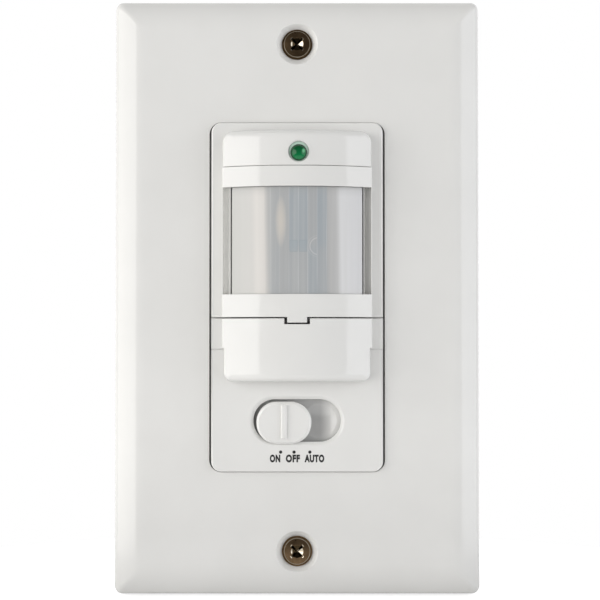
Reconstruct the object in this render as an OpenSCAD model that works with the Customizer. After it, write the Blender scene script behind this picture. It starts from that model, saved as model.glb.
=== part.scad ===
// Wall light switch with a motion sensor, one gang, with its cover plate.
// Every piece is drawn lying flat: x to the right, y up the wall, z out into the room.
// stand() then turns it upright, so the room side faces -Y and the wall plane is y = 0.

/* [Cover plate] */
// Width of the cover plate
plate_w = 70.5; // [69.5:0.5:76]
// Height of the cover plate
plate_h = 114.3; // [113.5:0.1:120]
// Height of the plate's face above the wall
plate_t = 6; // [5.8:0.1:6.4]
// Thickness of the plate's face
plate_skin = 2.4; // [2.2:0.1:2.6]
// Thickness of the plate's rim at the wall
plate_rim = 2; // [1.6:0.1:2.6]
// Radius of the round-over along the plate's edge
edge_r = 8.4; // [8:0.1:9]
// Width of the round-over seen from the front
edge_w = 5.8; // [5.4:0.1:6.2]
// How far the plate's side leans in between the wall and the round-over
side_lean = 0.5; // [0.3:0.05:0.7]
// Radius of the plate's outline corners
plate_corner_r = 1.6; // [1:0.1:2.5]
// Gap between the bezel's sides and the plate's opening
opening_gap = 0.4; // [0.3:0.05:0.5]
// Gap between the bezel's ends and the plate's opening
end_gap = 0.1; // [0.1:0.05:0.3]
// Distance of the plate screws from the plate's upper and lower edge
plate_screw_set = 8.75; // [8.25:0.05:9.25]
// Radius of the countersink at the plate's face
plate_sink_r = 3.95; // [3.8:0.05:4.1]
// Half angle of the screw heads
sink_half_angle = 41; // [40:1:43]
// Radius of the plate screws' shanks
plate_screw_r = 1.75; // [1.6:0.05:1.8]
// Radius of the plate screws' heads
plate_head_r = 2.95; // [2.85:0.05:3.1]
// Height of the dome on the plate screws' heads
plate_head_dome = 0.9; // [0.7:0.1:1.1]
// How far the plate screws reach behind the strap
plate_screw_tail = 4; // [2:0.5:6]
// Length across the screws' cross recess
cross_l = 2.9; // [2.6:0.1:3.1]
// Width of one arm of the cross recess
cross_w = 0.7; // [0.6:0.05:0.8]
// Depth of the cross recess
cross_d = 1.1; // [0.9:0.1:1.3]

/* [Strap] */
// Thickness of the steel strap
strap_t = 1.3; // [1.2:0.1:1.4]
// Gap between the strap's ears and the plate's rim
strap_set = 2.15; // [1.2:0.05:3]
// Width of the strap's ears
ear_w = 26; // [24:0.5:30]
// Width of the strap's middle
strap_w = 44; // [43.6:0.2:48]
// Height of the strap's middle
strap_mid_h = 83; // [82.5:0.5:84]
// Corner radius of the strap
strap_corner_r = 2.5; // [1.5:0.1:4]
// Distance of the box screws' holes from the plate screws
box_screw_set = 6.75; // [6.5:0.05:7]
// Radius of the holes for the box screws
box_hole_r = 2.2; // [2:0.05:2.4]
// Width of the strap's window
strap_window_w = 32.6; // [32:0.1:33]
// Height of the strap's window
strap_window_h = 66.6; // [66:0.1:67]
// Sideways place of the ground screw
ground_x = -15; // [-16:0.1:-14]
// Gap between the ground screw and the bezel's flange
ground_gap = 0.25; // [0.2:0.05:0.4]
// Radius of the ground screw's shank
ground_r = 1.75; // [1.6:0.05:1.85]
// Width across the ground screw's hexagon corners
ground_hex_w = 7.4; // [7:0.1:7.6]
// Thickness of the ground screw's head
ground_head_t = 2.6; // [2:0.1:3]
// How far the ground screw reaches in front of the strap
ground_tail = 1; // [0.6:0.1:1.4]

/* [Bezel] */
// Width of the bezel's face
bezel_w = 32.6; // [32.3:0.1:33]
// Height of the bezel's face
bezel_h = 66.4; // [66:0.1:66.8]
// Height of the bezel's face above the wall
bezel_t = 7; // [6.9:0.1:7.2]
// Corner radius of the bezel
bezel_corner_r = 1.9; // [1.4:0.1:2.3]
// Thickness of the bezel's face
bezel_skin = 1.8; // [1.6:0.1:1.9]
// Thickness of the bezel's side walls
bezel_wall = 1.6; // [1.4:0.1:1.8]
// Height of the flange behind the plate
flange_h = 72; // [70:0.5:74]
// Thickness of the flange
flange_t = 1.8; // [1.7:0.1:2]
// Width of the sensor window in the bezel
window_w = 24.8; // [24.7:0.05:24.9]
// Lower edge of the sensor window
window_low = -2.2; // [-2.4:0.1:-2]
// Upper edge of the sensor window
window_high = 22.6; // [22:0.1:23]
// Sideways place of the board posts
post_x = 12.8; // [12.6:0.1:12.9]
// Height of the board posts from the centre
post_y = 28.8; // [28.7:0.05:28.9]
// Radius of the board posts
post_r = 1.75; // [1.7:0.05:1.85]
// Depth of the screw holes in the posts
post_hole_d = 4.6; // [4.3:0.1:5]

/* [Sensor head] */
// Half width of the sensor cap
cap_half_w = 14.05; // [13.9:0.05:14.15]
// Height of the sensor head's front above the wall
head_front = 13; // [12.8:0.1:13.2]
// Radius of the curved front
head_r = 28; // [27:0.5:30]
// Wall thickness of the sensor head's pieces
head_wall = 1.4; // [1.2:0.1:1.5]
// Lower edge of the cap
cap_low = 24.5; // [24.4:0.1:24.7]
// Upper edge of the cap
cap_high = 31.3; // [31:0.1:31.5]
// Rounding of the cap's upper edge
cap_round = 1.6; // [1.2:0.1:1.9]
// How far the lens frame stands proud of the cap
frame_proud = 0.2; // [0.1:0.05:0.3]
// Parting gap between the head's pieces
part_gap = 0.1; // [0.08:0.01:0.15]
// Upper edge of the lens
lens_high = 20.6; // [20.3:0.1:20.9]
// Lower edge of the lens
lens_low = 0.4; // [0.2:0.1:0.7]
// Lower edge of the lens frame
frame_low = -3.9; // [-4:0.05:-3.8]
// Half width of the channels beside the lens, round at their floor
cheek_r = 0.65; // [0.55:0.05:0.7]
// Height of the channels' lips above the bezel
cheek_h = 1.75; // [1.65:0.05:1.8]
// Thickness of the channels' floor above the bezel
cheek_low = 0.2; // [0.15:0.05:0.3]
// Distance of the channel's middle from the head's side
cheek_set = 0.85; // [0.8:0.05:0.9]
// Gap between the lens and the cheeks
lens_slit = 0.25; // [0.2:0.05:0.35]
// How far the lens sits behind the frame's front
lens_set = 0.6; // [0.5:0.1:0.8]
// Radius of the lens
lens_r = 24; // [23:0.5:26]
// Half width of the lens
lens_half_w = 12.3; // [12.2:0.01:12.3]
// Thickness of the lens
lens_t = 0.9; // [0.8:0.05:1]
// Depth of the grooves between the lens segments
groove_d = 0.25; // [0.15:0.05:0.35]
// Width of the grooves between the lens segments
groove_w = 0.3; // [0.2:0.05:0.4]
// Distance between the lens segments
groove_pitch = 1.75; // [1.6:0.05:1.85]
// Number of grooves across the lens
groove_count = 7; // [3:2:11]
// How far the lens hooks reach outwards
hook_out = 0.6; // [0.5:0.05:0.7]
// Thickness of the lens hooks
hook_t = 0.6; // [0.5:0.05:0.7]
// Width of the tongue in the door's notch
tongue_w = 3.7; // [3.4:0.1:3.9]
// How far the tongue hangs below the frame
tongue_h = 1.05; // [0.9:0.05:1.1]
// Depth of the tongue from front to back
tongue_d = 5; // [4.6:0.1:5.4]

/* [Indicator and sensors] */
// Sideways place of the indicator
led_x = 0.3; // [0:0.05:0.4]
// Height of the indicator from the centre
led_y = 27.1; // [26.9:0.05:27.4]
// Radius of the indicator
led_r = 1.6; // [1.5:0.05:1.65]
// Radius of the indicator's foot
led_foot_r = 1.9; // [1.8:0.05:1.95]
// Thickness of the indicator's foot
led_foot_t = 0.8; // [0.6:0.1:1]
// Length of the indicator from foot to tip
led_l = 5.6; // [5.2:0.1:6]
// How far the indicator's tip stands out of the cap
led_out = 0.9; // [0.7:0.1:1.1]
// Radius of the clearance around the indicator
led_gap = 0.15; // [0.1:0.05:0.2]
// Width of the countersink around the indicator
led_sink = 0.3; // [0.2:0.05:0.35]
// Radius of the indicator's leads
lead_r = 0.25; // [0.2:0.05:0.3]
// Distance between the indicator's leads
lead_pitch = 2.54; // [2.2:0.02:2.6]
// Height of the heat sensor from the centre
pir_y = 10.5; // [9.5:0.1:11.5]
// Radius of the heat sensor's can
pir_r = 4.1; // [3.9:0.1:4.3]
// Height of the heat sensor's can
pir_h = 4.5; // [4:0.1:5]
// Radius of the heat sensor's foot
pir_foot_r = 4.6; // [4.5:0.1:4.8]
// Thickness of the heat sensor's foot
pir_foot_t = 0.5; // [0.4:0.1:0.7]
// Width of the heat sensor's window
pir_win_w = 4; // [3.6:0.1:4.2]
// Height of the heat sensor's window
pir_win_h = 3; // [2.6:0.1:3.2]
// Thickness of the heat sensor's window
pir_win_t = 0.6; // [0.5:0.1:0.8]
// Sideways place of the light cell
cell_x = 8.6; // [8:0.1:9.4]
// Height of the light cell from the centre
cell_y = 4; // [3:0.1:6]
// Radius of the light cell
cell_r = 2.2; // [1.8:0.1:2.4]
// Height of the light cell
cell_h = 2.4; // [2:0.1:3]

/* [Adjuster door] */
// Gap along the door's edges
door_gap = 0.25; // [0.2:0.05:0.3]
// Lower edge of the door
door_low = -16; // [-16.1:0.05:-15.9]
// Lower edge of the door's ears
ears_low = -9.75; // [-9.9:0.05:-9.6]
// Half width of the door below its ears
door_half_w = 13.8; // [13.7:0.05:13.9]
// Thickness of the door's ears
ears_t = 1.2; // [1.1:0.05:1.3]
// Rounding of the door's lower front edge
door_round = 1.6; // [1.4:0.1:1.7]
// Radius of the door's lower corners seen from the front
door_corner_r = 1.1; // [0.8:0.1:1.5]
// Radius of the barrel along the door's lower edge
barrel_r = 0.8; // [0.75:0.01:0.82]
// Height of the hinge line above the bezel
hinge_up = 1; // [0.98:0.01:1.05]
// Radius of the hinge pins
hinge_pin_r = 0.4; // [0.36:0.01:0.42]
// Running clearance of the hinge pins
hinge_gap = 0.05; // [0.04:0.01:0.06]
// Sideways place of the hinge lugs
lug_x = 9; // [8.6:0.1:9.4]
// Thickness of the hinge lugs
lug_t = 2; // [1.8:0.1:2.2]
// Radius of the hinge lugs
lug_r = 0.72; // [0.68:0.01:0.74]
// Gap beside the hinge lugs
lug_gap = 0.3; // [0.25:0.05:0.4]
// How far each hinge pin reaches into the door
pin_reach = 1.4; // [1.2:0.1:1.8]
// Width of the notch in the door's upper edge
notch_w = 4.8; // [4.6:0.1:5.2]
// Depth of the notch in the door's upper edge
notch_h = 1.1; // [1:0.05:1.2]

/* [Adjusters] */
// Distance between the adjuster dials
dial_pitch = 8.4; // [8.2:0.1:8.6]
// Height of the dials from the centre
dial_y = -9.4; // [-9.6:0.1:-9.2]
// Radius of the dials
dial_r = 2.3; // [2.2:0.05:2.4]
// Gap around the dials
dial_gap = 0.3; // [0.25:0.05:0.35]
// Height of the dials above the deck
dial_up = 2.9; // [2.5:0.1:3]
// How far the dial's collar reaches past the dial
collar_out = 0.5; // [0.45:0.05:0.55]
// Thickness of the dial's collar
collar_t = 0.7; // [0.6:0.05:0.75]
// Width of the dial's slot
dial_slot_w = 0.8; // [0.6:0.05:1]
// Depth of the dial's slot
dial_slot_d = 1.2; // [1:0.1:1.4]
// Radius of the dial's pointer dimple
dimple_r = 0.3; // [0.25:0.05:0.35]
// Radius of the dial's shaft
shaft_r = 1; // [0.9:0.05:1.1]
// Running clearance of the dial's shaft
shaft_gap = 0.06; // [0.05:0.01:0.08]
// How far the shaft goes into the trimmer
shaft_in = 1; // [0.8:0.1:1.2]
// Half width of the adjuster deck
deck_half_w = 12.4; // [12.3:0.05:12.45]
// Lower edge of the adjuster deck
deck_low = -13.6; // [-13.8:0.05:-13.5]
// Depth of the adjuster deck below the bezel's face
deck_d = 2.4; // [2.3:0.05:2.5]
// Thickness of the adjuster deck
deck_t = 1.4; // [1.3:0.05:1.5]
// Width of the trimmers
trim_w = 6.8; // [6:0.1:7.2]
// Height of the trimmers' bodies along the wall
trim_h = 7.4; // [6.6:0.1:7.8]
// Depth of the trimmers' bodies
trim_d = 3.4; // [3.2:0.1:3.5]

/* [Slide switch] */
// Length of the well
well_l = 16.6; // [16.4:0.1:17]
// Height of the well
well_h = 8.1; // [8:0.05:8.3]
// Height of the well's centre from the centre
well_y = -23.5; // [-23.6:0.05:-23.4]
// Depth of the well
well_d = 2.6; // [2.5:0.05:2.65]
// Thickness of the wall around the well
well_wall = 1.2; // [1.1:0.05:1.25]
// Width of the chamfer around the well
well_lip = 0.6; // [0.55:0.05:0.7]
// Length of the knob
knob_l = 10.4; // [10.2:0.05:10.6]
// Height of the knob
knob_h = 7.5; // [7.3:0.05:7.55]
// How far the knob sits below the well's centre
knob_set = 0.2; // [0.1:0.05:0.2]
// How far the knob stands out of the bezel
knob_up = 0.6; // [0.5:0.05:0.7]
// Chamfer of the knob's edge
knob_edge = 0.4; // [0.3:0.05:0.5]
// How far the knob's head reaches over its stem above and below
knob_head_over = 0.2; // [0.1:0.05:0.2]
// How far the knob's head sits below the middle of the knob
knob_head_drop = 0.25; // [0.1:0.05:0.25]
// How far the knob's head reaches into the chamfer around the well
knob_head_in = 0.1; // [0.05:0.05:0.15]
// Gap between the knob's skirt and the wall around the well
knob_gap = 0.2; // [0.15:0.05:0.25]
// Thickness of the knob's skirt, which closes the well from behind
skirt_t = 1; // [0.9:0.05:1.1]
// How far the skirt reaches beyond the well at the end of its travel
skirt_lap = 0.25; // [0.2:0.05:0.3]
// Travel of the knob from one end position to the other
knob_travel = 5; // [4.8:0.05:5.2]
// Width of the knob's rib
rib_w = 1.15; // [1:0.05:1.3]
// Length of the knob's rib
rib_l = 6.4; // [6:0.1:6.5]
// Height of the knob's rib
rib_h = 0.5; // [0.4:0.05:0.6]
// Length of the knob's stem
stem_l = 3.4; // [3.2:0.05:3.6]
// Height of the knob's stem
stem_h = 3.2; // [3:0.05:3.4]
// Gap around the knob's stem
stem_gap = 0.3; // [0.25:0.05:0.35]
// Length of the switch's case
case_l = 14.4; // [13.6:0.1:15]
// Height of the switch's case along the wall
case_h = 7.4; // [7:0.1:7.8]
// Depth of the switch's case
case_d = 4; // [3.9:0.05:4.1]
// Depth of the slot in the switch's case
case_slot_d = 2.4; // [2.3:0.05:2.5]
// Length of the slider's nub
nub_l = 1.8; // [1.6:0.05:1.9]
// Height of the slider's nub along the wall
nub_h = 1.6; // [1.5:0.05:1.7]
// How far the slider's nub goes into the knob
nub_in = 2.2; // [2:0.1:2.4]
// Length of the slider's foot
foot_l = 4.4; // [4.2:0.1:4.6]
// Height of the slider's foot along the wall
foot_h = 2.6; // [2.4:0.1:2.8]
// Thickness of the fixed contacts
contact_t = 0.25; // [0.2:0.05:0.3]
// Width of the fixed contacts
contact_w = 1.2; // [1:0.1:1.4]
// Thickness of the sliding contact
bridge_t = 0.35; // [0.3:0.05:0.4]
// Gap between sliding and fixed contacts
contact_gap = 0.1; // [0.08:0.01:0.12]

/* [Boards] */
// Thickness of the circuit boards
board_t = 1.6; // [1.5:0.05:1.7]
// Depth of the control board's face behind the wall plane
control_d = 2; // [1.9:0.05:2.1]
// Width of the control board
control_w = 31; // [30.4:0.2:31.6]
// Height of the control board
control_h = 62; // [61:0.5:63]
// Radius of the board screws
board_screw_r = 0.8; // [0.7:0.05:0.85]
// Radius of the board screws' heads
board_head_r = 1.7; // [1.6:0.05:1.8]
// Thickness of the board screws' heads
board_head_t = 1.1; // [0.9:0.1:1.3]
// How far the board screws go into the posts
board_screw_in = 4.2; // [3.8:0.1:4.2]
// Clearance of the screws in drilled holes
screw_gap = 0.05; // [0.04:0.01:0.08]
// Clearance of the screws in plain holes
plain_gap = 0.3; // [0.25:0.05:0.35]
// Height of the power board
power_h = 60; // [59:0.5:61]
// Pins in the board link
link_pins = 6; // [4:1:7]
// Length of the link's bar
link_l = 15.24; // [14:0.02:16]
// Thickness of the link's pins
link_pin_w = 0.64; // [0.5:0.02:0.7]
// Width of the link's bar
link_bar_w = 2.5; // [2.2:0.1:2.8]
// Height of the link from the centre
link_y = -26; // [-27:0.1:-25]

/* [Power parts] */
// Length of the relay
relay_l = 19; // [18:0.5:20]
// Height of the relay along the wall
relay_h = 15.4; // [14.4:0.2:16]
// Depth of the relay
relay_d = 15; // [14:0.2:15.4]
// Sideways place of the relay
relay_x = -4; // [-4.4:0.1:-3.8]
// Height of the relay from the centre
relay_y = 13; // [12.6:0.1:13.6]
// Width of the film capacitor
film_w = 8; // [7:0.2:8.6]
// Height of the film capacitor along the wall
film_h = 18; // [17:0.2:19]
// Depth of the film capacitor
film_d = 13; // [12:0.2:14]
// Gap between the film capacitor and the power board's side
film_set = 3; // [2.8:0.1:3.2]
// Height of the film capacitor from the centre
film_y = 14; // [13.6:0.1:15]
// Radius of the filter capacitor
filter_r = 4; // [3.6:0.1:4.4]
// Length of the filter capacitor
filter_l = 12; // [11:0.5:13]
// Gap between the filter capacitor and the power board's side
filter_set = 5; // [4.8:0.1:5.6]
// Height of the filter capacitor from the centre
filter_y = -12; // [-13:0.1:-11]
// Radius of the surge arrester's disc
surge_r = 4.6; // [4:0.1:5]
// Thickness of the surge arrester
surge_t = 3.8; // [3.4:0.1:4.2]
// Sideways place of the surge arrester
surge_x = -8; // [-9:0.1:-7]
// Height of the surge arrester from the centre
surge_y = -12; // [-13:0.1:-11]
// Radius of the dropper resistor
drop_r = 1.8; // [1.6:0.1:2]
// Length of the dropper resistor
drop_l = 9; // [8:0.5:10]
// Height of the dropper resistor from the centre
drop_y = -20.5; // [-21:0.1:-20]

/* [Rear body] */
// Width of the rear body
rear_w = 43; // [42.8:0.1:43.4]
// Height of the rear body
rear_h = 67; // [66.6:0.1:67.4]
// Depth of the rear body
rear_d = 30; // [29.8:0.1:31]
// Wall thickness of the rear body
rear_wall = 1.6; // [1.5:0.05:1.8]
// Corner radius of the rear body
rear_corner_r = 3; // [2:0.1:3.4]
// Chamfer along the rear body's back edges
rear_chamfer = 2.4; // [1.6:0.1:2.8]
// Depth of the label recess on the rear body's back
label_d = 0.4; // [0.3:0.05:0.5]
// Width of the label recess
label_w = 26; // [22:0.5:30]
// Height of the label recess
label_h = 40; // [34:0.5:46]
// Thickness of the barrier ribs beside the terminals
barrier_t = 1.2; // [1:0.1:1.4]
// How far the barrier ribs stand out of the rear body
barrier_out = 2.2; // [1.8:0.1:2.4]
// Depth of the barrier ribs behind the wall plane
barrier_d = 17; // [15:0.5:20]
// Gap between the rear body's front edge and the barrier ribs
barrier_set = 1.2; // [0.8:0.1:2]
// Height of the board rests in the rear body
rest_h = 2; // [1.8:0.1:2.2]
// Radius of the board rests
rest_r = 2; // [1.6:0.1:2.4]
// Sideways place of the board rests
rest_x = 14; // [13:0.2:15]
// Height of the board rests from the centre
rest_y = 24; // [23:0.2:25]
// Distance of the assembly screws from the rear body's side
case_screw_set = 2.5; // [2.45:0.05:2.6]
// Height of the assembly screws from the centre
case_screw_y = 29.8; // [29.6:0.05:30]
// Radius of the assembly screws
case_screw_r = 1.3; // [1.2:0.05:1.35]
// Radius of the assembly screws' heads
case_head_r = 2.3; // [2.2:0.05:2.35]
// Depth of the assembly screws in the rear body
case_screw_in = 9; // [8:0.5:10]
// Radius of the screw bosses in the rear body
boss_r = 2.4; // [2.3:0.05:2.5]
// Depth of the screw bosses in the rear body
boss_d = 11; // [10.5:0.5:12]

/* [Terminals] */
// Height of the terminals from the centre
term_y = 10; // [9.6:0.1:10.4]
// Depth of the terminal screws behind the wall plane
term_d = 8.5; // [8.3:0.1:8.7]
// Width of the terminal windows
term_w = 9; // [8.6:0.1:9.4]
// Depth of the terminal windows
term_l = 10; // [9.6:0.1:10.4]
// Thickness of the terminal plates
term_t = 1.2; // [1:0.05:1.3]
// Gap around the terminal plates
term_gap = 0.1; // [0.05:0.05:0.15]
// Width of the terminals' legs
leg_w = 4; // [3.6:0.1:4.4]
// Thickness of the terminals' legs
leg_t = 0.9; // [0.8:0.05:0.9]
// Radius of the terminal screws
term_screw_r = 1.7; // [1.6:0.05:1.8]
// Length of the terminal screws inside the plates
term_screw_in = 3.6; // [3:0.1:4]
// Radius of the terminal screws' heads
term_head_r = 3.4; // [3.2:0.1:3.6]
// Thickness of the terminal screws' heads
term_head_t = 1.9; // [1.7:0.1:2.2]
// Gap under the terminal screws' heads
term_head_gap = 0.1; // [0.05:0.05:0.2]
// Width of the terminal screws' slots
term_slot_w = 0.9; // [0.8:0.05:1]
// Depth of the terminal screws' slots
term_slot_d = 0.9; // [0.7:0.05:1]

/* [Hidden] */
$fn = 48;
fine = 128;
over = 1;
plate_screw_pitch = plate_h - 2 * plate_screw_set;
box_screw_pitch = plate_screw_pitch - 2 * box_screw_set;
strap_l = plate_h - 2 * (plate_rim + strap_set);
ground_drop = ground_gap + max(flange_h / 2 + ground_r, rear_h / 2 + ground_hex_w / 2);
opening_w = bezel_w + 2 * opening_gap;
opening_h = bezel_h + 2 * end_gap;
opening_r = bezel_corner_r + opening_gap;
pocket_d = plate_t - plate_skin;
edge_drop = edge_r - sqrt(edge_r * edge_r - edge_w * edge_w);
sink_slope = tan(sink_half_angle);
head_seat = plate_t - (plate_sink_r - plate_head_r) / sink_slope;
head_cone = (plate_head_r - plate_screw_r) / sink_slope;
bezel_low = strap_t;
flange_top = strap_t + flange_t;
skin_low = bezel_t - bezel_skin;
frame_half_w = cap_half_w + 0.75 * frame_proud;
frame_front = head_front + frame_proud;
frame_high = cap_low - part_gap;
cheek_in = lens_half_w + lens_slit;
lens_front = frame_front - lens_set;
hook_low = skin_low - hook_t - part_gap;
led_tip = head_front + led_out;
led_base = led_tip - led_l;
control_back = -control_d - board_t;
door_high = frame_low - door_gap;
hinge_y = door_low + barrel_r;
hinge_z = bezel_t + hinge_up;
door_base = bezel_t + 0.6 * door_gap;
ears_base = bezel_t - ears_t;
ears_half_w = bezel_w / 2;
ledge_z = ears_base - door_gap;
door_inner = door_half_w - head_wall + part_gap;
door_sweep_r = door_high - hinge_y + 0.2 * door_gap;
deck_z = bezel_t - deck_d;
deck_back = deck_z - deck_t;
deck_high = frame_low - head_wall;
dial_top = deck_z + dial_up;
collar_top = deck_back - 0.5 * dial_gap;
collar_low = collar_top - collar_t;
trim_top = trim_d - control_d;
well_floor = bezel_t - well_d;
skirt_low = well_floor - skirt_t;
skirt_l = well_l + knob_travel + 2 * skirt_lap;
skirt_h = well_h + 2 * skirt_lap;
knob_top = bezel_t + knob_up;
knob_head_h = knob_h + 2 * knob_head_over;
knob_x = -knob_travel / 2;
slide_y = well_y - knob_set;
case_top = case_d - control_d;
case_floor = case_top - case_slot_d;
bridge_low = case_floor + contact_t + contact_gap;
foot_low = bridge_low + bridge_t;
foot_high = case_top - stem_gap;
nub_top = well_floor + nub_in;
stem_low = case_top + stem_gap;
power_face = rear_wall + rest_h + board_t - rear_d;
rear_in = rear_w / 2 - rear_wall;
flange_w = rear_w;
case_screw_x = rear_w / 2 - case_screw_set;
power_w = 2 * (rear_in - leg_t);
film_x = power_w / 2 - film_set - film_w / 2;
filter_x = power_w / 2 - filter_set - filter_r;
sink_depth = (case_head_r - case_screw_r) / sink_slope;
surge_z = power_face + surge_r;

// Turns a piece drawn flat upright against the wall.
module stand() {
    rotate([90, 0, 0]) children();
}

// Repeats its child at both ends of the plate's or strap's centre line.
module both_ends(pitch) {
    for (s = [-1, 1]) {
        translate([0, s * pitch / 2, 0]) children();
    }
}

// Repeats its child at the four corners of a rectangle.
module four_corners(x, y) {
    for (i = [-1, 1]) {
        for (j = [-1, 1]) {
            translate([i * x, j * y, 0]) children();
        }
    }
}

module block(w, h, z0, z1) {
    translate([-w / 2, -h / 2, z0]) cube([w, h, z1 - z0]);
}

module post(r, z0, z1) {
    translate([0, 0, z0]) cylinder(r = r, h = z1 - z0);
}

module round_rect(w, h, r) {
    square([w - 2 * r, h], center = true);
    square([w, h - 2 * r], center = true);
    for (i = [-1, 1]) {
        for (j = [-1, 1]) {
            translate([i * (w / 2 - r), j * (h / 2 - r)]) circle(r);
        }
    }
}

module round_block(w, h, r, z0, z1) {
    translate([0, 0, z0]) linear_extrude(z1 - z0) round_rect(w, h, r);
}

module long_round(l, h) {
    square([l - h, h], center = true);
    for (i = [-1, 1]) {
        translate([i * (l - h) / 2, 0]) circle(h / 2);
    }
}

module long_block(l, h, z0, z1) {
    translate([0, 0, z0]) linear_extrude(z1 - z0) long_round(l, h);
}

// A long round block that widens by c from z0 to z1.
module long_flare(l, h, c, z0, z1) {
    run_along_x(-(l - h) / 2, (l - h) / 2) {
        polygon([[-h / 2, z0], [h / 2, z0], [h / 2 + c, z1], [-h / 2 - c, z1]]);
    }
    for (i = [-1, 1]) {
        translate([i * (l - h) / 2, 0, z0]) cylinder(r1 = h / 2, r2 = h / 2 + c, h = z1 - z0);
    }
}

// Draws a profile given as x and z along y.
module run_along_y(y0, y1) {
    translate([0, y1, 0]) rotate([90, 0, 0]) linear_extrude(y1 - y0) children();
}

// Draws a profile given as y and z along x.
module run_along_x(x0, x1) {
    translate([x0, 0, 0]) rotate([90, 0, 90]) linear_extrude(x1 - x0) children();
}

// A face of width w with leaning sides and a round-over along both of its edges.
module crowned(w) {
    half = w / 2 - side_lean;
    intersection() {
        polygon([[-w / 2, 0], [w / 2, 0], [half, plate_t - edge_drop], [half, plate_t],
            [-half, plate_t], [-half, plate_t - edge_drop]]);
        union() {
            translate([-w / 2, 0]) square([w, plate_t - edge_drop]);
            translate([edge_w - half, 0]) square([2 * (half - edge_w), plate_t]);
            for (i = [-1, 1]) {
                translate([i * (half - edge_w), plate_t - edge_r]) circle(edge_r, $fn = fine);
            }
        }
    }
}

// The curved front of the sensor head, seen from above.
module arch(half, front, base, r) {
    intersection() {
        translate([-half, base]) square([2 * half, front - base + over]);
        translate([0, front - r]) circle(r, $fn = 2 * fine);
    }
}

module cross_recess() {
    for (a = [45, 135]) {
        rotate([0, 0, a]) translate([-cross_l / 2, -cross_w / 2, 0]) cube([cross_l, cross_w, cross_d + over]);
    }
}

module wall_plate() {
    color("WhiteSmoke") stand() difference() {
        intersection() {
            round_block(plate_w, plate_h, plate_corner_r, 0, plate_t);
            run_along_y(-plate_h / 2, plate_h / 2) crowned(plate_w);
            run_along_x(-plate_w / 2, plate_w / 2) crowned(plate_h);
        }
        round_block(plate_w - 2 * plate_rim, plate_h - 2 * plate_rim, plate_corner_r, -over, pocket_d);
        round_block(opening_w, opening_h, opening_r, -over, plate_t + over);
        both_ends(plate_screw_pitch) {
            post(plate_screw_r + plain_gap, -over, plate_t + over);
            translate([0, 0, plate_t - plate_sink_r / sink_slope])
                cylinder(r1 = 0, r2 = plate_sink_r + over * sink_slope, h = plate_sink_r / sink_slope + over);
        }
    }
}

module plate_screws() {
    dome_r = (plate_head_r * plate_head_r + plate_head_dome * plate_head_dome) / (2 * plate_head_dome);
    color("DimGray") stand() both_ends(plate_screw_pitch) difference() {
        union() {
            post(plate_screw_r, -plate_screw_tail, head_seat);
            translate([0, 0, head_seat - head_cone])
                cylinder(r1 = plate_screw_r, r2 = plate_head_r - screw_gap, h = head_cone);
            translate([0, 0, head_seat]) intersection() {
                post(plate_head_r - screw_gap, 0, plate_head_dome);
                translate([0, 0, plate_head_dome - dome_r]) sphere(dome_r, $fn = fine);
            }
        }
        translate([0, 0, head_seat + plate_head_dome - cross_d]) cross_recess();
    }
}

module mounting_strap() {
    color("Silver") stand() difference() {
        union() {
            round_block(strap_w, strap_mid_h, strap_corner_r, 0, strap_t);
            round_block(ear_w, strap_l, strap_corner_r, 0, strap_t);
        }
        block(strap_window_w, strap_window_h, -over, strap_t + over);
        both_ends(box_screw_pitch) post(box_hole_r, -over, strap_t + over);
        both_ends(plate_screw_pitch) post(plate_screw_r + screw_gap, -over, strap_t + over);
        four_corners(case_screw_x, case_screw_y) post(case_screw_r + plain_gap, -over, strap_t + over);
        translate([ground_x, -ground_drop, 0]) post(ground_r + screw_gap, -over, strap_t + over);
    }
}

module front_bezel() {
    color("White") stand() difference() {
        union() {
            difference() {
                union() {
                    round_block(bezel_w, bezel_h, bezel_corner_r, bezel_low, bezel_t);
                    round_block(flange_w, flange_h, bezel_corner_r, bezel_low, flange_top);
                }
                block(bezel_w - 2 * bezel_wall, bezel_h - 2 * bezel_wall, -over, skin_low);
            }
            translate([-bezel_w / 2, deck_low - bezel_wall, deck_back])
                cube([bezel_w, deck_high - deck_low + 2 * bezel_wall, ledge_z - deck_back]);
            translate([0, well_y, 0])
                long_block(well_l + 2 * well_wall, well_h + 2 * well_wall, well_floor + knob_gap, skin_low);
            four_corners(post_x, post_y) post(post_r, -control_d, skin_low);
            for (i = [-1, 1]) {
                translate([i * lug_x, hinge_y, 0]) hinge_lug();
            }
        }
        translate([-window_w / 2, window_low, skin_low - over])
            cube([window_w, window_high - window_low, bezel_skin + 2 * over]);
        translate([-bezel_w, ears_low - door_gap, ledge_z])
            cube([2 * bezel_w, frame_low - ears_low + door_gap, bezel_t]);
        translate([-deck_half_w, deck_low, deck_z])
            cube([2 * deck_half_w, deck_high - deck_low, bezel_t]);
        for (i = [-1, 0, 1]) {
            translate([i * dial_pitch, dial_y, 0]) post(dial_r + dial_gap, deck_back - over, bezel_t);
        }
        translate([0, well_y, 0]) {
            long_block(well_l, well_h, well_floor, bezel_t + over);
            long_flare(well_l, well_h, well_lip + over, bezel_t - well_lip, bezel_t + over);
        }
        translate([led_x, led_y, 0]) post(led_foot_r + plain_gap, skin_low - over, bezel_t + over);
        four_corners(post_x, post_y)
            post(board_screw_r + screw_gap, -control_d - over, post_hole_d - control_d);
        four_corners(case_screw_x, case_screw_y) case_screw_hole();
        for (i = [-1, 1]) {
            translate([i * lug_x - lug_t, hinge_y, hinge_z]) rotate([0, 90, 0])
                cylinder(r = hinge_pin_r + hinge_gap / 2, h = 2 * lug_t);
        }
    }
}

module hinge_lug() {
    translate([-lug_t / 2, -lug_r, skin_low]) cube([lug_t, 2 * lug_r, hinge_z - skin_low]);
    translate([-lug_t / 2, 0, hinge_z]) rotate([0, 90, 0]) cylinder(r = lug_r, h = lug_t);
}

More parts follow.
